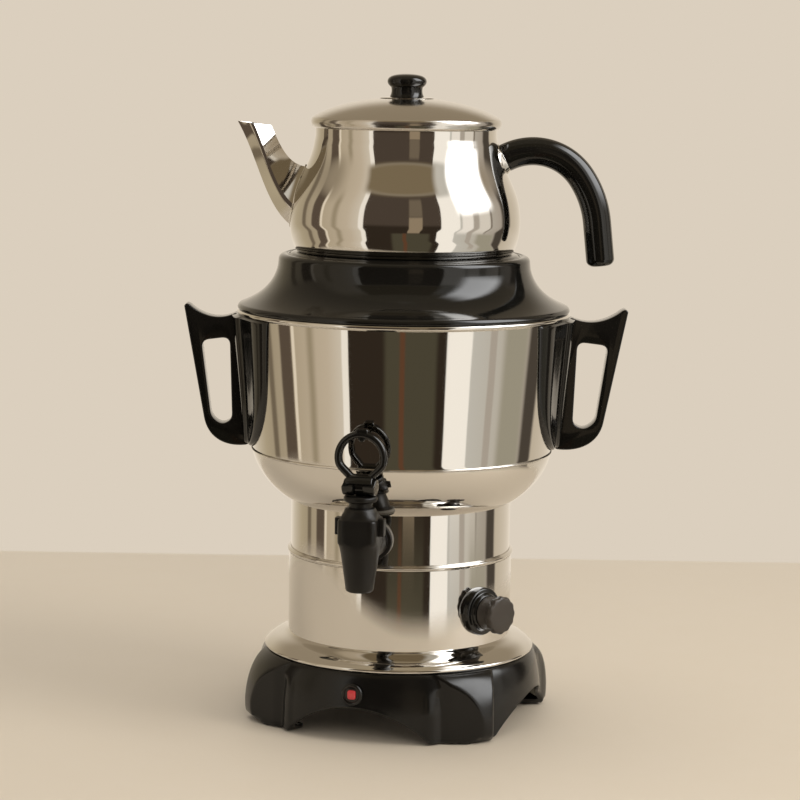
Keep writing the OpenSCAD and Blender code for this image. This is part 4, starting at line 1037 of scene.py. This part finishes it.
class SAMOVAR_OT_tap(bpy.types.Operator):
    """Builds the tap: body with its outlet, shank, bonnet and the ring lever."""

    bl_idname = "samovar.tap"
    bl_label = "Tap"

    def execute(self, context):
        matte = "black_matte_plastic"
        place = tap_frame()
        sections = [(104.7, 7.6, 7.6), (105.2, 8.4, 8.4), (106.3, 9.0, 9.0), (112, 9.7, 9.7), (118, 10.6, 10.6)]
        sections += [(124, 11.5, 11.5), (129, 12.2, 12.0), (133, 12.6, 10.6), (135.4, 12.7, 8.0), (136.6, 12.7, 5.2)]
        sections += [(138, 12.6, 4.0), (145, 12.5, 3.6), (150.8, 12.5, 3.8), (151.7, 12.3, 4.8), (152.1, 11.9, 6.0)]
        sections += [(154.2, 11.3, 9.0), (156.6, 10.4, 10.4), (158.2, 9.6, 9.6), (158.6, 9.0, 9.0)]
        rings = [rounded_square(half, corner, z) for z, half, corner in sections]
        top = [rounded_square(r, r, z) for r, z in ((7.5, 158.6), (7.5, 149.9), (8.2, 149.9), (8.2, 120), (5.5, 120))]
        bore = [rounded_square(r, r, z) for r, z in ((5.5, 108), (5.5, 105.4), (6.1, 104.7))]
        points, faces = skin(rings + top + bore, closed=True)
        body = make("tap_body_core", [place @ Vector(p) for p in points], faces, matte, 32)
        parts = [tidy(body, 32)]
        for x in (-13.5, 13.5):
            at = place @ Matrix.Translation((x, 0, 0))
            parts.append(slab("tap_ear", [rounded_rectangle(5, 7, 0.9)], 141, 152, 0.6, at, matte))
        # The shank screws through the neck; its flange and shoulder stand between tap and tank.
        shank = [(5, 62), (8, 62), (8, 76.4), (12.5, 76.4), (12.5, 80), (10, 80), (10, 92), (9.2, 101.5)]
        shank += [(8.6, 103.5), (5, 103.5)]
        axis = radial(TAP_TURN, SHANK_H)
        parts.append(lathe("tap_shank", soften(shank, 0.5), matte, 64, axis))
        fit(join("tap_body_moulding", parts, 32), "boiler", matte, "tap_body")

        bonnet = [(2.56, 150.2), (7.4, 150.2), (7.5, 162), (9.6, 162.4), (10.8, 163.4), (10.8, 165.4)]
        bonnet += [(9.8, BONNET_TOP), (2.56, BONNET_TOP)]
        cap = lathe("tap_bonnet_moulding", soften(bonnet, 0.45, 4), matte, 96, place)
        fit(cap, "boiler", matte, "tap_bonnet")
        self.lever(place @ Matrix.Translation((0, 0, PIN_H)), "black_gloss_plastic")
        # A moulded head on the stem fills the gap between the cheeks.
        head = soften([(1.6, -2.9), (5.9, -2.9), (5.9, 2.9), (1.6, 2.9)], 0.5, 4)
        across = place @ Matrix.Translation((0, 0, PIN_H)) @ Matrix.Rotation(math.pi / 2, 4, "Y")
        fit(lathe("stem_head", head, "black_gloss_plastic", 64, across), "stem", matte)
        pin = soften([(0, -10.5), (1.5, -10.5), (1.5, 10.5), (0, 10.5)], 0.35, 4)
        pin = lathe("lever_pin_turned", pin, "blackened_steel", 48, across)
        fit(pin, "stem", "zinc_plated_steel", "lever_pin")
        return {"FINISHED"}

    def lever(self, pin, gloss):
        """The ring lever: two cheeks with their cams, a ring above them and a small hook at its top."""
        # The cam stands just above the bonnet and lifts the pin evenly as the lever tilts.
        cam_low, rate = PIN_H - BONNET_TOP - 0.3, STEM_LIFT / math.radians(LEVER_TILT)
        cheek = [(0, -cam_low)]
        for k in range(12):
            a = math.radians(80 * k / 11)
            h = cam_low + rate * a
            cheek.append((-h * math.sin(a) - rate * math.cos(a), -h * math.cos(a) + rate * math.sin(a)))
        cheek += [(-4.6, 3.2), (-3.0, 4.6)] + arc((0, 0), cam_low, 112, -86, 24)[1:]
        # From an outline's own axes: for the cheeks X runs back, Y up and the thickness across.
        sideways = Matrix(((0, 0, 1, 0), (1, 0, 0, 0), (0, 1, 0, 0), (0, 0, 0, 1)))
        upright = Matrix.Rotation(math.pi / 2, 4, "X")
        parts = [
            slab("lever_cheek", [cheek[::-1]], low, high, 0.9, pin @ sideways, gloss)
            for low, high in ((-10.5, -3.15), (3.15, 10.5))
        ]
        # A saddle closes the gap between the cheeks from above and in front, clear of the stem.
        saddle = arc((0, 0), 8.0, 20, 132, 14) + arc((0, 0), 6.25, 132, 20, 14)
        saddle = [(-x, z) for x, z in saddle][::-1]
        parts.append(slab("lever_bridge", [saddle], -8.6, 8.6, 0.8, pin @ sideways, gloss))
        ring = [(14.8 * math.cos(a), 18.5 + 14.8 * math.sin(a)) for a in map(math.radians, range(-12, 193, 6))]
        left = bez(ring[-1], (-13.9, 12.2), (-9.5, 9.5), (-5.8, 5.2), 10)[1:]
        right = bez((5.8, 5.2), (9.5, 9.5), (13.9, 12.2), ring[0], 10)[:-1]
        path = [(x, 0, z) for x, z in right + ring + left]
        parts.append(sweep("lever_ring", path, rounded_rectangle(4.7, 6.6, 2.2, 5), gloss, place=pin))
        for name, x, z, size, half, bevel in (
            ("lever_lug", 0.6, 34.9, (8.4, 4.6, 1.9), 3, 1.2),
            ("lever_hook", 0.4, 31.2, (4.6, 5.2, 2.1), 2.4, 1.0),
        ):
            loop = [(p[0] + x, p[1] + z) for p in rounded_rectangle(*size)]
            parts.append(slab(name, [loop], -half, half, bevel, pin @ upright, gloss))
        fit(join("tap_lever_moulding", parts, 38), "lever", "black_matte_plastic", "tap_lever")


# ---------------------------------------------------------------- thermostat knob
KNOB_TURN, KNOB_H = 45.0, 80.8
DISC_FROM, KNOB_FROM = 70.0, 82.4


class SAMOVAR_OT_knob(bpy.types.Operator):
    """Builds the thermostat's knob with its finger lobes, and the disc behind it."""

    bl_idname = "samovar.knob"
    bl_label = "Thermostat knob"

    def execute(self, context):
        lobes = context.scene.samovar_sizes.knob_lobes
        disc = [(4.85, 3.0), (15.8, 3.0), (15.8, 7.6), (15.4, 8.7), (14.6, 9.1), (12.9, 9.2), (12.3, 9.7)]
        disc += [(12.2, 10.9), (11.4, 11.8), (10.6, 12), (8.05, 12), (8.05, 8.6), (4.85, 8.6)]
        place = radial(KNOB_TURN, KNOB_H, DISC_FROM)

        def seat(p):
            """The back of the disc follows the round wall that it sits on."""
            return (p[0], p[1], math.sqrt(HOUSING_R**2 - p[0] ** 2) - DISC_FROM) if p[2] < 4 else p

        plate = lathe("knob_disc", soften(disc, 0.25), "black_gloss_plastic", 128, place, 32, bend=seat)
        fit(plate, "boiler", "black_gloss_plastic", "knob_escutcheon")
        side = [(3.02, 0), (10.8, 0), (10.4, 1.4), (8.9, 3.0), (8.3, 4.2), (8.2, 7.4), (8.8, 8.2), (11.0, 8.5)]
        side += [(12.0, 9.0), (12.3, 9.8), (12.3, 11.4), (11.9, 12.4), (11.1, 13.0), (9.6, 13.3), (5, 13.25)]
        side += [(0, 13.2), (0, 8.6), (3.02, 8.6)]
        rings = []
        for r, z in soften(side, 0.3):
            lobed = ease(8.3, 9.2, z) * (1 - ease(12.4, 13.2, z)) if r > 9 else 0
            if r < 1e-6:
                rings.append([(0, 0, z)])
                continue
            ring = []
            for a in (2 * math.pi * k / 288 for k in range(288)):
                wave = 0.5 + 0.5 * math.cos(lobes * a)
                reach = r + lobed * (0.35 * wave**0.7 - 0.35 * (1 - wave))
                ring.append((reach * math.cos(a), reach * math.sin(a), z))
            rings.append(ring)
        points, faces = blind_bore(rings)
        placed = radial(KNOB_TURN, KNOB_H, KNOB_FROM)
        knob = make("knob_moulding", [placed @ Vector(p) for p in points], faces, "knob_plastic", 32)
        fit(tidy(knob, 32, 0.002), "knob", "knob_plastic", "thermostat_knob")
        return {"FINISHED"}


# ---------------------------------------------------------------- teapot
POT_RIM, POT_RIM_R = 394.0, 60.0
BELLY = bez((73.2, POT_LOW + 3.1), (76.4, 322.5), (77.9, 334), (75, 346.5), 30)
THROAT = bez((75, 346.5), (72.2, 358.5), (62.5, 372), (60.8, 385), 30)
POT_SIDE = [(70.8, POT_LOW), (72.2, POT_LOW + 0.9), (72.9, POT_LOW + 2.2)] + BELLY + THROAT[1:]
POT_SIDE += [(60.3, 387.4), (POT_RIM_R, 389.6), (POT_RIM_R, POT_RIM)]
STRAINER = (-74.0, 0.0, 351.0)


def pot_r(z):
    """Radius of the teapot's outer face at that height."""
    return between([(q[1], q[0]) for q in POT_SIDE], z)


def leaves_pot(path, far, rounds=40):
    """How far along a path, a function of distance that starts inside the teapot, it leaves the outer face."""
    low, high = 0.0, far
    for _ in range(rounds):
        mid = (low + high) / 2
        p = path(mid)
        if math.hypot(p.x, p.y) < pot_r(p.z):
            low = mid
        else:
            high = mid
    return high


def reach_pot(point, way):
    """The place along a line, from a point inside the teapot, where it leaves the outer face."""
    return point + way * leaves_pot(lambda far: point + way * far, 60.0)


class SAMOVAR_OT_teapot(bpy.types.Operator):
    """Builds the teapot's spun body with its strainer holes, and its flat base disc."""

    bl_idname = "samovar.teapot"
    bl_label = "Teapot body"

    def execute(self, context):
        sizes = context.scene.samovar_sizes
        sheet, pitch = sizes.sheet / MM, sizes.strainer_pitch
        steel = "polished_steel"
        inner = inset(POT_SIDE, sheet)
        outline = [(0, POT_LOW)] + POT_SIDE + inner[::-1][:-1] + [(70.4, POT_LOW + sheet), (0, POT_LOW + sheet)]
        body = lathe("teapot_spun", outline, steel, 256)
        drill = lathe("strainer_holes", [(0, -10), (1.5, -10), (1.5, 10), (0, 10)], steel, 24)
        drill.data.transform(Matrix.Rotation(math.pi / 2, 4, "Y"))
        grow(drill, rows_tree(), pitch=pitch, rings=2, material=steel)
        drill.data.transform(Matrix.Translation(Vector(STRAINER) * MM))
        fit(shade(cut(body, drill)), "teapot", "polished_steel", "teapot_body")
        low = POT_LOW - 2.8
        disc = soften([(0, low), (54.6, low), (56, low + 1.4), (56, POT_LOW), (0, POT_LOW)], 0.5)
        base = lathe("teapot_base", disc, "satin_steel", 192)
        fit(base, "teapot", "satin_steel", "teapot_base_disc")
        return {"FINISHED"}


SPOUT_FRONT = [(-71, 326), (-93, 337), (-96, 370), (-111.6, 397.5)]
SPOUT_BACK = [(-58, 368), (-76, 366), (-81, 376), (-89.5, 395)]


def spout_point(turn, t, less):
    """A point of the spout at t from its root (0) to its mouth (1): two flat faces a side, with a crease between."""
    u = 1 - t
    w = (u**3, 3 * u * u * t, 3 * u * t * t, t**3)
    a = sum((Vector(p) * k for p, k in zip(SPOUT_FRONT, w)), Vector((0, 0)))
    b = sum((Vector(p) * k for p, k in zip(SPOUT_BACK, w)), Vector((0, 0)))
    across = (b - a).normalized()
    crease = a + (b - a) * (0.32 + 0.18 * t)
    front, rear = (crease - a).length - less, (b - crease).length - less
    half = 18.5 - 17 * t + 5.5 * t * t - less
    c, s = math.cos(turn), math.sin(turn)
    flat = 1 / (abs(c) + abs(s))
    p = crease + across * (c * flat * (front if c < 0 else rear))
    # The front face turns square to the side just before the crease.
    wide = blend_min(1.0, 1.3 * abs(s) * flat, 0.05) if c < 0 else abs(s) * flat
    return Vector((p.x, math.copysign(half * wide, s), p.y))


def spout_root(turn, less):
    """How far along the spout that line leaves the teapot's wall."""
    return leaves_pot(lambda t: spout_point(turn, t, less), 0.6, 30)


class SAMOVAR_OT_spout(bpy.types.Operator):
    """Builds the spout: folded sheet with sharp creases, open at its mouth, on a raised weld."""

    bl_idname = "samovar.spout"
    bl_label = "Spout"

    def execute(self, context):
        steel = "polished_steel"
        turns = [2 * math.pi * k / 96 for k in range(96)]
        steps = 44
        rings = []
        for less, order in ((0.0, range(steps + 1)), (0.9, range(steps, -1, -1))):
            roots = [spout_root(a, less) for a in turns]
            for i in order:
                s = i / steps
                rings.append([spout_point(a, r + (1 - r) * s, less) for a, r in zip(turns, roots)])
        points, faces = skin(rings, closed=True)
        shell = tidy(make("spout_sheet", points, faces, steel, 20), 20, 0.002)
        # The weld: a thin rounded band where the spout meets the belly.
        line = [spout_point(a, spout_root(a, -0.1), -0.1) for a in turns]
        band = []
        for i, p in enumerate(line):
            along = (line[(i + 1) % len(line)] - line[i - 1]).normalized()
            out = Vector((p.x, p.y, 0)).normalized()
            flat = along.cross(out).normalized()
            band.append([p + flat * (1.5 * math.cos(a)) + out * (0.75 * math.sin(a)) for a in turns[::8]])
        points, faces = skin(band, closed=True)
        weld = tidy(make("spout_weld", points, faces, steel, 60), 60, 0.002)
        fit(join("spout_pressed", [shell, weld], 20), "teapot", "polished_steel", "teapot_spout")
        return {"FINISHED"}


HOOK_FROM, HOOK_RISE, POT_GRIP_R = (65.3, 375.4), 27.85, 9.4
HOOK = [(49.9, 6.9), (38.7, 76.25), (65.4, 28.5)]


def hook_line():
    """Points of the handle's middle line, as (x, z, share of its full girth)."""
    x, z, way = HOOK_FROM[0], HOOK_FROM[1], HOOK_RISE
    out = [(x, z, 0.99), (x + 1.2 * math.cos(math.radians(way)), z + 1.2 * math.sin(math.radians(way)), 1.0)]
    for radius, turn in HOOK:
        a = math.radians(way)
        mx, mz = x + radius * math.sin(a), z - radius * math.cos(a)
        count = math.ceil(turn / 3)
        for k in range(1, count + 1):
            b = math.radians(way - turn * k / count)
            out.append((mx - radius * math.sin(b), mz + radius * math.cos(b), 1.0))
        way -= turn
        x, z = out[-1][0], out[-1][1]
    a = math.radians(way)
    corner = 4.4
    for far, girth in [(4, 1), (8, 1), (12, 1), (16, 1), (20, 1), (23.5, 1)] + [
        (24.4 + corner * math.sin(b), (POT_GRIP_R - corner + corner * math.cos(b)) / POT_GRIP_R)
        for b in (math.radians(9 * k) for k in range(11))
    ]:
        out.append((x + far * math.cos(a), z + far * math.sin(a), girth))
    return out


class SAMOVAR_OT_handle(bpy.types.Operator):
    """Builds the teapot's handle: a moulded bar with soft ridges, and the steel bracket at its root."""

    bl_idname = "samovar.handle"
    bl_label = "Teapot handle"

    def execute(self, context):
        line = hook_line()
        mesh = bpy.data.meshes.new("handle_moulding")
        points = [Vector((x, 0, z)) * MM for x, z, _ in line]
        mesh.from_pydata(points, [(i, i + 1) for i in range(len(points) - 1)], [])
        girth = mesh.attributes.new("girth", "FLOAT", "POINT")
        girth.data.foreach_set("value", [g for _, _, g in line])
        bar = linked("handle_moulding", mesh)
        grow(
            bar,
            bar_tree(),
            radius=POT_GRIP_R * MM,
            ridge=context.scene.samovar_sizes.handle_ridge,
            ridge_angle=math.radians(34),
            material="black_gloss_plastic",
        )
        fit(tidy(bar, 40), "teapot", "black_gloss_plastic", "teapot_grip")

        way = Vector((math.cos(math.radians(HOOK_RISE)), 0, math.sin(math.radians(HOOK_RISE))))
        up = Vector((-way.z, 0, way.x))
        start = Vector((HOOK_FROM[0], 0, HOOK_FROM[1]))
        inside = start - way * 18
        rings = [[reach_pot(inside, way)]]
        spokes = [up * math.cos(a) + Vector((0, math.sin(a), 0)) for a in (math.pi * k / 48 for k in range(96))]
        for radius in (5.0, 10.4):
            rings.append([reach_pot(inside + s * radius, way) for s in spokes])
        rings.append([reach_pot(inside + s * 10.5, way) + way * 0.25 for s in spokes])
        for radius, back in ((9.5, -0.5), (9.45, -0.15), (9.3, 0.0), (8.6, 0.0)):
            rings.append([start + s * radius + way * back for s in spokes])
        rings.append([start])
        points, faces = skin(rings)
        bracket = tidy(make("handle_bracket", points, faces, "polished_steel"), 35, 0.002)
        fit(bracket, "teapot", "polished_steel", "grip_bracket")
        return {"FINISHED"}


LID_TOP, LID_KNOB_FOOT = 413.9, 414.8


class SAMOVAR_OT_lid(bpy.types.Operator):
    """Builds the pressed lid, its washer and the turned knob on it."""

    bl_idname = "samovar.lid"
    bl_label = "Lid"

    def execute(self, context):
        sheet = context.scene.samovar_sizes.sheet / MM
        dome = bez((62, 401), (54, 406.5), (38, 412), (17.5, LID_TOP), 40)
        edge = [(POT_RIM_R + 0.4, POT_RIM), (61.6, POT_RIM + 0.4), (62.4, 395.4), (62.85, 396.8), (63, 398)]
        edge += [(62.9, 399.2), (62.55, 400.2)]
        inside = [(2.2, LID_TOP), (2.2, LID_TOP - sheet)] + [(r - 0.2, z - sheet) for r, z in dome][::-1]
        inside += [(61.2, 398), (60.6, 395.6), (57.8, 395.2), (57.8, 385), (58.6, 385), (58.6, POT_RIM)]
        inside += [(POT_RIM_R, POT_RIM)]
        lid = lathe("lid_pressed", edge + dome + inside, "satin_steel", 256)
        fit(lid, "lid", "satin_steel", "teapot_lid")
        washer = [(2.2, LID_TOP), (17.6, LID_TOP), (18, LID_TOP + 0.3), (16.8, 414.6), (12, LID_KNOB_FOOT)]
        washer += [(2.2, LID_KNOB_FOOT)]
        disc = lathe("lid_washer_turned", soften(washer, 0.2), "polished_steel", 128)
        fit(disc, "lid", "polished_steel", "lid_washer")
        foot = LID_KNOB_FOOT
        side = [(2.05, foot), (11, foot)] + bez((11.3, foot + 0.4), (10.6, 416.4), (9.8, 418.2), (10.5, 421.2), 12)
        side += [(11.0, 421.5)] + bez((11.3, 421.8), (12.6, 422.8), (13.5, 424.6), (12.7, 426.4), 12)
        side += bez((12.7, 426.4), (11.6, 428.6), (8.6, 430), (0, 430.2), 14)[1:]
        side += [(0, 425.1), (2.05, 425.1)]
        points, faces = blind_bore(turned_rings(side, 128))
        knob = make("lid_knob_turned", points, faces, "black_gloss_plastic")
        fit(tidy(knob, 35, 0.002), "lid", "black_gloss_plastic", "lid_knob")
        return {"FINISHED"}


class SAMOVAR_OT_inside(bpy.types.Operator):
    """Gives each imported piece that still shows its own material, such as the heater, the spring and the wires."""

    bl_idname = "samovar.inside"
    bl_label = "Inner pieces"

    def execute(self, context):
        for part in frame["record"]["subparts"]:
            mesh = frame["nodes"][part["node"]].data
            # The stem shows in the shaded gap between the lever's cheeks: it gets the dark blackened steel there in
            # place of its own finish, as painted shade.
            finish = "blackened_steel" if part["node"] == "tap_stem" else part["material_slot"]
            for i in range(len(mesh.materials)):
                mesh.materials[i] = FINISH[finish]
        return {"FINISHED"}


# ---------------------------------------------------------------- stage
LENS, CAMERA_AT, CAMERA_PITCH, CAMERA_ROLL = 115.8, (-0.00154, -1.712, 0.442), 82.3732, 0.862
WALL_Y = 0.537
MIRROR_GAIN, PLAIN_LIGHT = 1.42, 0.54
LAMPS = [
    ("window_lamp", (1.5, -0.9, 1.5), 1.0, 18.0),
    ("front_lamp", (0.4, -2.2, 1.6), 1.4, 10.0),
    ("ceiling_lamp", (-0.3, 0.3, 2.2), 1.8, 11.0),
]
# What the steel mirrors: pale walls all round, by direction in degrees from the front towards +X.
WALLS = [
    (-180, "#cfc4b4"),
    (-138, "#a5987f"),
    (-120, "#9a8d76"),
    (-90, "#aa9c85"),
    (-60, "#b8aa95"),
    (-45, "#c8beae"),
    (58, "#bab6ad"),
    (84, "#b3ada1"),
    (112, "#a0968a"),
    (132, "#b9ad9a"),
    (180, "#cfc4b4"),
]
# What stands before them: left and right edge, lower and upper edge in degrees above level, how soft the
# upright and the level edges are, colour and, where it isn't 1, strength. Later lines cover earlier ones.
ROOM = [
    ("ceiling", (-180, 180), (60, 90), (1, 8), "#93866f"),
    ("ceiling behind, left", (-200, -84), (24, 90), (12, 10), "#8b7e6a"),
    ("ceiling behind, right", (90, 200), (24, 90), (12, 10), "#8b7e6a"),
    ("left cupboard", (-124, -117), (-50, 28), (2, 5), "#6b5f4e"),
    ("left post", (-107, -94), (-50, 26), (1.5, 6), "#54483c"),
    ("edge of the post", (-93.5, -90.5), (-50, 26), (0.8, 6), "#d8cbb6"),
    ("fold in the left wall", (-78, -72), (-30, 30), (3, 8), "#93866f"),
    ("left jamb", (-47.5, -42), (-60, 38), (0.7, 3), "#e6dfd3"),
    ("doorway", (-42, 36), (-60, 40), (0.5, 2), "#463c33"),
    ("doorway, lower part", (-42, 36), (-60, -1), (0.5, 2.5), "#2d251d"),
    ("lit strip", (4, 17), (-10.5, 10), (0.6, 1.5), "#8a7a64"),
    ("strip above", (4, 17), (10, 35), (1.0, 3), "#695d4d"),
    ("green panel", (-13, 28), (-60, -11), (2.5, 1.5), "#474234"),
    ("brown post", (-1, 3), (-60, -11), (0.8, 1.5), "#5a3d2a"),
    ("soffit", (-50, 38), (39, 66), (5, 3), "#74664f"),
    ("right jamb", (36, 56.5), (-60, 36), (0.7, 3), "#f0eae0"),
    ("pale blind", (59, 71.5), (-10, 22), (0.8, 3), "#e4ddd3"),
    ("grey frame", (72, 78.5), (-30, 20), (0.8, 3), "#a59c90"),
    ("curtain", (79.5, 94), (-10, 22), (0.8, 3), "#d0c8bc"),
    ("low cupboard", (86, 111), (-60, -11), (4, 1.5), "#96907f"),
    ("window frame", (94.5, 97), (-10, 30), (0.6, 2), "#786e62"),
    ("window", (60, 95), (19, 60), (4, 5), "#fffcf6"),
    ("bright panes", (58, 98), (16, 62), (7, 9), "#ffffff", 5.0),
    ("dark cabinet", (113, 129), (-50, 22), (2.5, 6), "#463f37"),
]


class SAMOVAR_OT_stage(bpy.types.Operator):
    """Builds the table, the soft lamps, the room that the steel mirrors, and the camera."""

    bl_idname = "samovar.stage"
    bl_label = "Stage and camera"

    def execute(self, context):
        shades = context.scene.samovar_colours
        self.room(context.scene, shades)
        self.table(shades)
        self.lamps()
        self.camera(context.scene)
        context.scene.view_settings.view_transform = "Standard"
        return {"FINISHED"}

    def room(self, scene, shades):
        """The camera sees a plain wall; mirrors see the room; matt surfaces get a plain light."""
        world = bpy.data.worlds.new("room")
        world.use_nodes = True
        scene.world = world
        tree = world.node_tree
        tree.nodes.clear()
        way = add(tree, "ShaderNodeSeparateXYZ", {0: add(tree, "ShaderNodeTexCoord").outputs["Generated"]})
        calc = calculator(tree)

        def step(value, start, end):
            """0 before start, 1 after end; falls where end lies before start."""
            low, high = sorted((start, end))
            sizes = {"Value": value, "From Min": low, "From Max": high}
            if end < start:
                sizes.update({"To Min": 1.0, "To Max": 0.0})
            return add(tree, "ShaderNodeMapRange", sizes, interpolation_type="SMOOTHSTEP").outputs[0]

        rise = calc("MULTIPLY", calc("ARCSINE", way.outputs["Z"]), 180 / math.pi)
        turn = calc("ARCTAN2", way.outputs["X"], calc("MULTIPLY", way.outputs["Y"], -1.0))
        turn = calc("MULTIPLY", turn, 180 / math.pi)
        # The large drum sees the room from further forward than the teapot: its edges lie a little closer in.
        near = step(calc("ABSOLUTE", calc("ADD", rise, 15.0)), 11.0, 5.0)
        turn = calc("MULTIPLY_ADD", near, calc("MULTIPLY_ADD", turn, 0.1, 1.4), turn)
        ramp = add(tree, "ShaderNodeValToRGB", {0: calc("MULTIPLY_ADD", turn, 1 / 360, 0.5)})
        bands = ramp.color_ramp.elements
        while len(bands) < len(WALLS):
            bands.new(0.5)
        for band, (at, _) in zip(bands, WALLS):
            band.position = 0.5 + at / 360
        for band, (_, code) in zip(bands, WALLS):
            band.color = colour(code)
        seen = ramp.outputs[0]
        for _, (left, right), (low, high), (side, level), code, *strength in ROOM:
            inside = calc("MULTIPLY", step(turn, left - side, left + side), step(turn, right + side, right - side))
            inside = calc("MULTIPLY", inside, step(rise, low - level, low + level))
            inside = calc("MULTIPLY", inside, step(rise, high + level, high - level))
            gain = strength[0] if strength else 1.0
            shade_of = tuple(c * gain for c in colour(code)[:3]) + (1.0,)
            seen = add(tree, "ShaderNodeMix", {"Factor": inside, 6: seen, 7: shade_of}, data_type="RGBA").outputs[2]
        mirrored = add(tree, "ShaderNodeBackground", {"Color": seen, "Strength": MIRROR_GAIN})
        plain = add(tree, "ShaderNodeBackground", {"Color": colour("#fffcf7"), "Strength": PLAIN_LIGHT})
        wall = add(tree, "ShaderNodeBackground", {"Color": tuple(shades.wall), "Strength": 1.0})
        path = add(tree, "ShaderNodeLightPath")
        sharp = calc("MAXIMUM", path.outputs["Is Glossy Ray"], path.outputs["Is Transmission Ray"])
        rest = add(tree, "ShaderNodeMixShader", {0: sharp, 1: plain.outputs[0], 2: mirrored.outputs[0]})
        shown = {0: path.outputs["Is Camera Ray"], 1: rest.outputs[0], 2: wall.outputs[0]}
        both = add(tree, "ShaderNodeMixShader", shown)
        add(tree, "ShaderNodeOutputWorld", {0: both.outputs[0]})

    def table(self, shades):
        """A pale table that meets the wall behind; mirrors see only its near part."""
        finish = bpy.data.materials.new("pale_table")
        finish.use_nodes = True
        tree = finish.node_tree
        tree.nodes.clear()
        place = add(tree, "ShaderNodeTexCoord").outputs["Object"]
        matt = add(tree, "ShaderNodeBsdfPrincipled", {"Roughness": 0.6, "IOR": 1.4})
        tint(tree, matt, spread_over(tree, noise(tree, place, 30, 4.0), 0.0, 0.25), shades.table, shades.wall)
        parts = add(tree, "ShaderNodeSeparateXYZ", {0: place})
        line = {"Value": parts.outputs["Y"], "From Min": WALL_Y - 0.004, "From Max": WALL_Y + 0.004}
        behind = add(tree, "ShaderNodeMapRange", line)
        wall = add(tree, "ShaderNodeEmission", {"Color": tuple(shades.wall), "Strength": 1.0})
        seen = add(tree, "ShaderNodeMixShader", {0: behind.outputs[0], 1: matt.outputs[0], 2: wall.outputs[0]})
        # Mirrors see the table out to an oval round the samovar, longer to the left.
        oval = add(tree, "ShaderNodeMapping", {"Vector": place, "Location": (0.17, -0.08, 0), "Scale": (1.8, 2.2, 1)})
        far = add(tree, "ShaderNodeVectorMath", {0: oval.outputs[0]}, operation="LENGTH")
        gone = add(tree, "ShaderNodeMapRange", {"Value": far.outputs["Value"], "From Min": 0.9, "From Max": 1.1})
        glossy = add(tree, "ShaderNodeLightPath").outputs["Is Glossy Ray"]
        hide = calculator(tree)("MULTIPLY", gone.outputs[0], glossy)
        clear = add(tree, "ShaderNodeBsdfTransparent")
        out = add(tree, "ShaderNodeMixShader", {0: hide, 1: seen.outputs[0], 2: clear.outputs[0]})
        add(tree, "ShaderNodeOutputMaterial", {0: out.outputs[0]})
        FINISH["pale_table"] = finish
        far = 2600.0
        corners = [(-far, -far, 0), (far, -far, 0), (far, far, 0), (-far, far, 0)]
        make("table_top", corners, [(0, 1, 2, 3)], "pale_table")

    def lamps(self):
        """Soft lamps that mirrors don't see: a window on the right, a fill in front and the ceiling."""
        for name, at, size, power in LAMPS:
            light = bpy.data.lights.new(name, "AREA")
            light.shape, light.size, light.energy = "DISK", size, power
            light.color = colour("#fffbf4")[:3]
            lamp = linked(name, light)
            lamp.location = at
            aim = Vector((0, 0, 0.15)) - Vector(at)
            lamp.rotation_euler = aim.to_track_quat("-Z", "Y").to_euler()
            lamp.visible_glossy = False

    def camera(self, scene):
        """The photo's view: a long lens at table height, looking slightly down."""
        view = bpy.data.cameras.new("camera")
        view.lens, view.sensor_width = LENS, 36.0
        eye = linked("camera", view)
        eye.matrix_world = (
            Matrix.Translation(CAMERA_AT)
            @ Matrix.Rotation(math.radians(CAMERA_PITCH), 4, "X")
            @ Matrix.Rotation(math.radians(CAMERA_ROLL), 4, "Z")
        )
        scene.camera = eye


# ---------------------------------------------------------------- the add-on
OPERATORS = [
    SAMOVAR_OT_base,
    SAMOVAR_OT_lamp,
    SAMOVAR_OT_boiler,
    SAMOVAR_OT_grips,
    SAMOVAR_OT_collar,
    SAMOVAR_OT_tap,
    SAMOVAR_OT_knob,
    SAMOVAR_OT_teapot,
    SAMOVAR_OT_spout,
    SAMOVAR_OT_handle,
    SAMOVAR_OT_lid,
    SAMOVAR_OT_inside,
    SAMOVAR_OT_stage,
]


class SAMOVAR_PT_panel(bpy.types.Panel):
    """Lists the samovar's sizes, colours and building steps."""

    bl_label = "Samovar"
    bl_idname = "SAMOVAR_PT_panel"
    bl_space_type = "VIEW_3D"
    bl_region_type = "UI"
    bl_category = "Samovar"

    def draw(self, context):
        for group in (context.scene.samovar_sizes, context.scene.samovar_colours):
            box = self.layout.box()
            for name in group.__annotations__:
                box.prop(group, name)
        for step in OPERATORS:
            self.layout.operator(step.bl_idname)


CLASSES = [SamovarSizes, SamovarColours] + OPERATORS + [SAMOVAR_PT_panel]


def register():
    for kind in CLASSES:
        bpy.utils.register_class(kind)
    bpy.types.Scene.samovar_sizes = PointerProperty(type=SamovarSizes)
    bpy.types.Scene.samovar_colours = PointerProperty(type=SamovarColours)


def unregister():
    del bpy.types.Scene.samovar_colours
    del bpy.types.Scene.samovar_sizes
    for kind in reversed(CLASSES):
        bpy.utils.unregister_class(kind)


def main():
    register()
    FINISH.update(make_finishes())
    for step in OPERATORS:
        group, name = step.bl_idname.split(".")
        result = getattr(getattr(bpy.ops, group), name)()
        if result != {"FINISHED"}:
            raise RuntimeError(f"{step.bl_label} was not built")


if __name__ == "__main__":
    main()
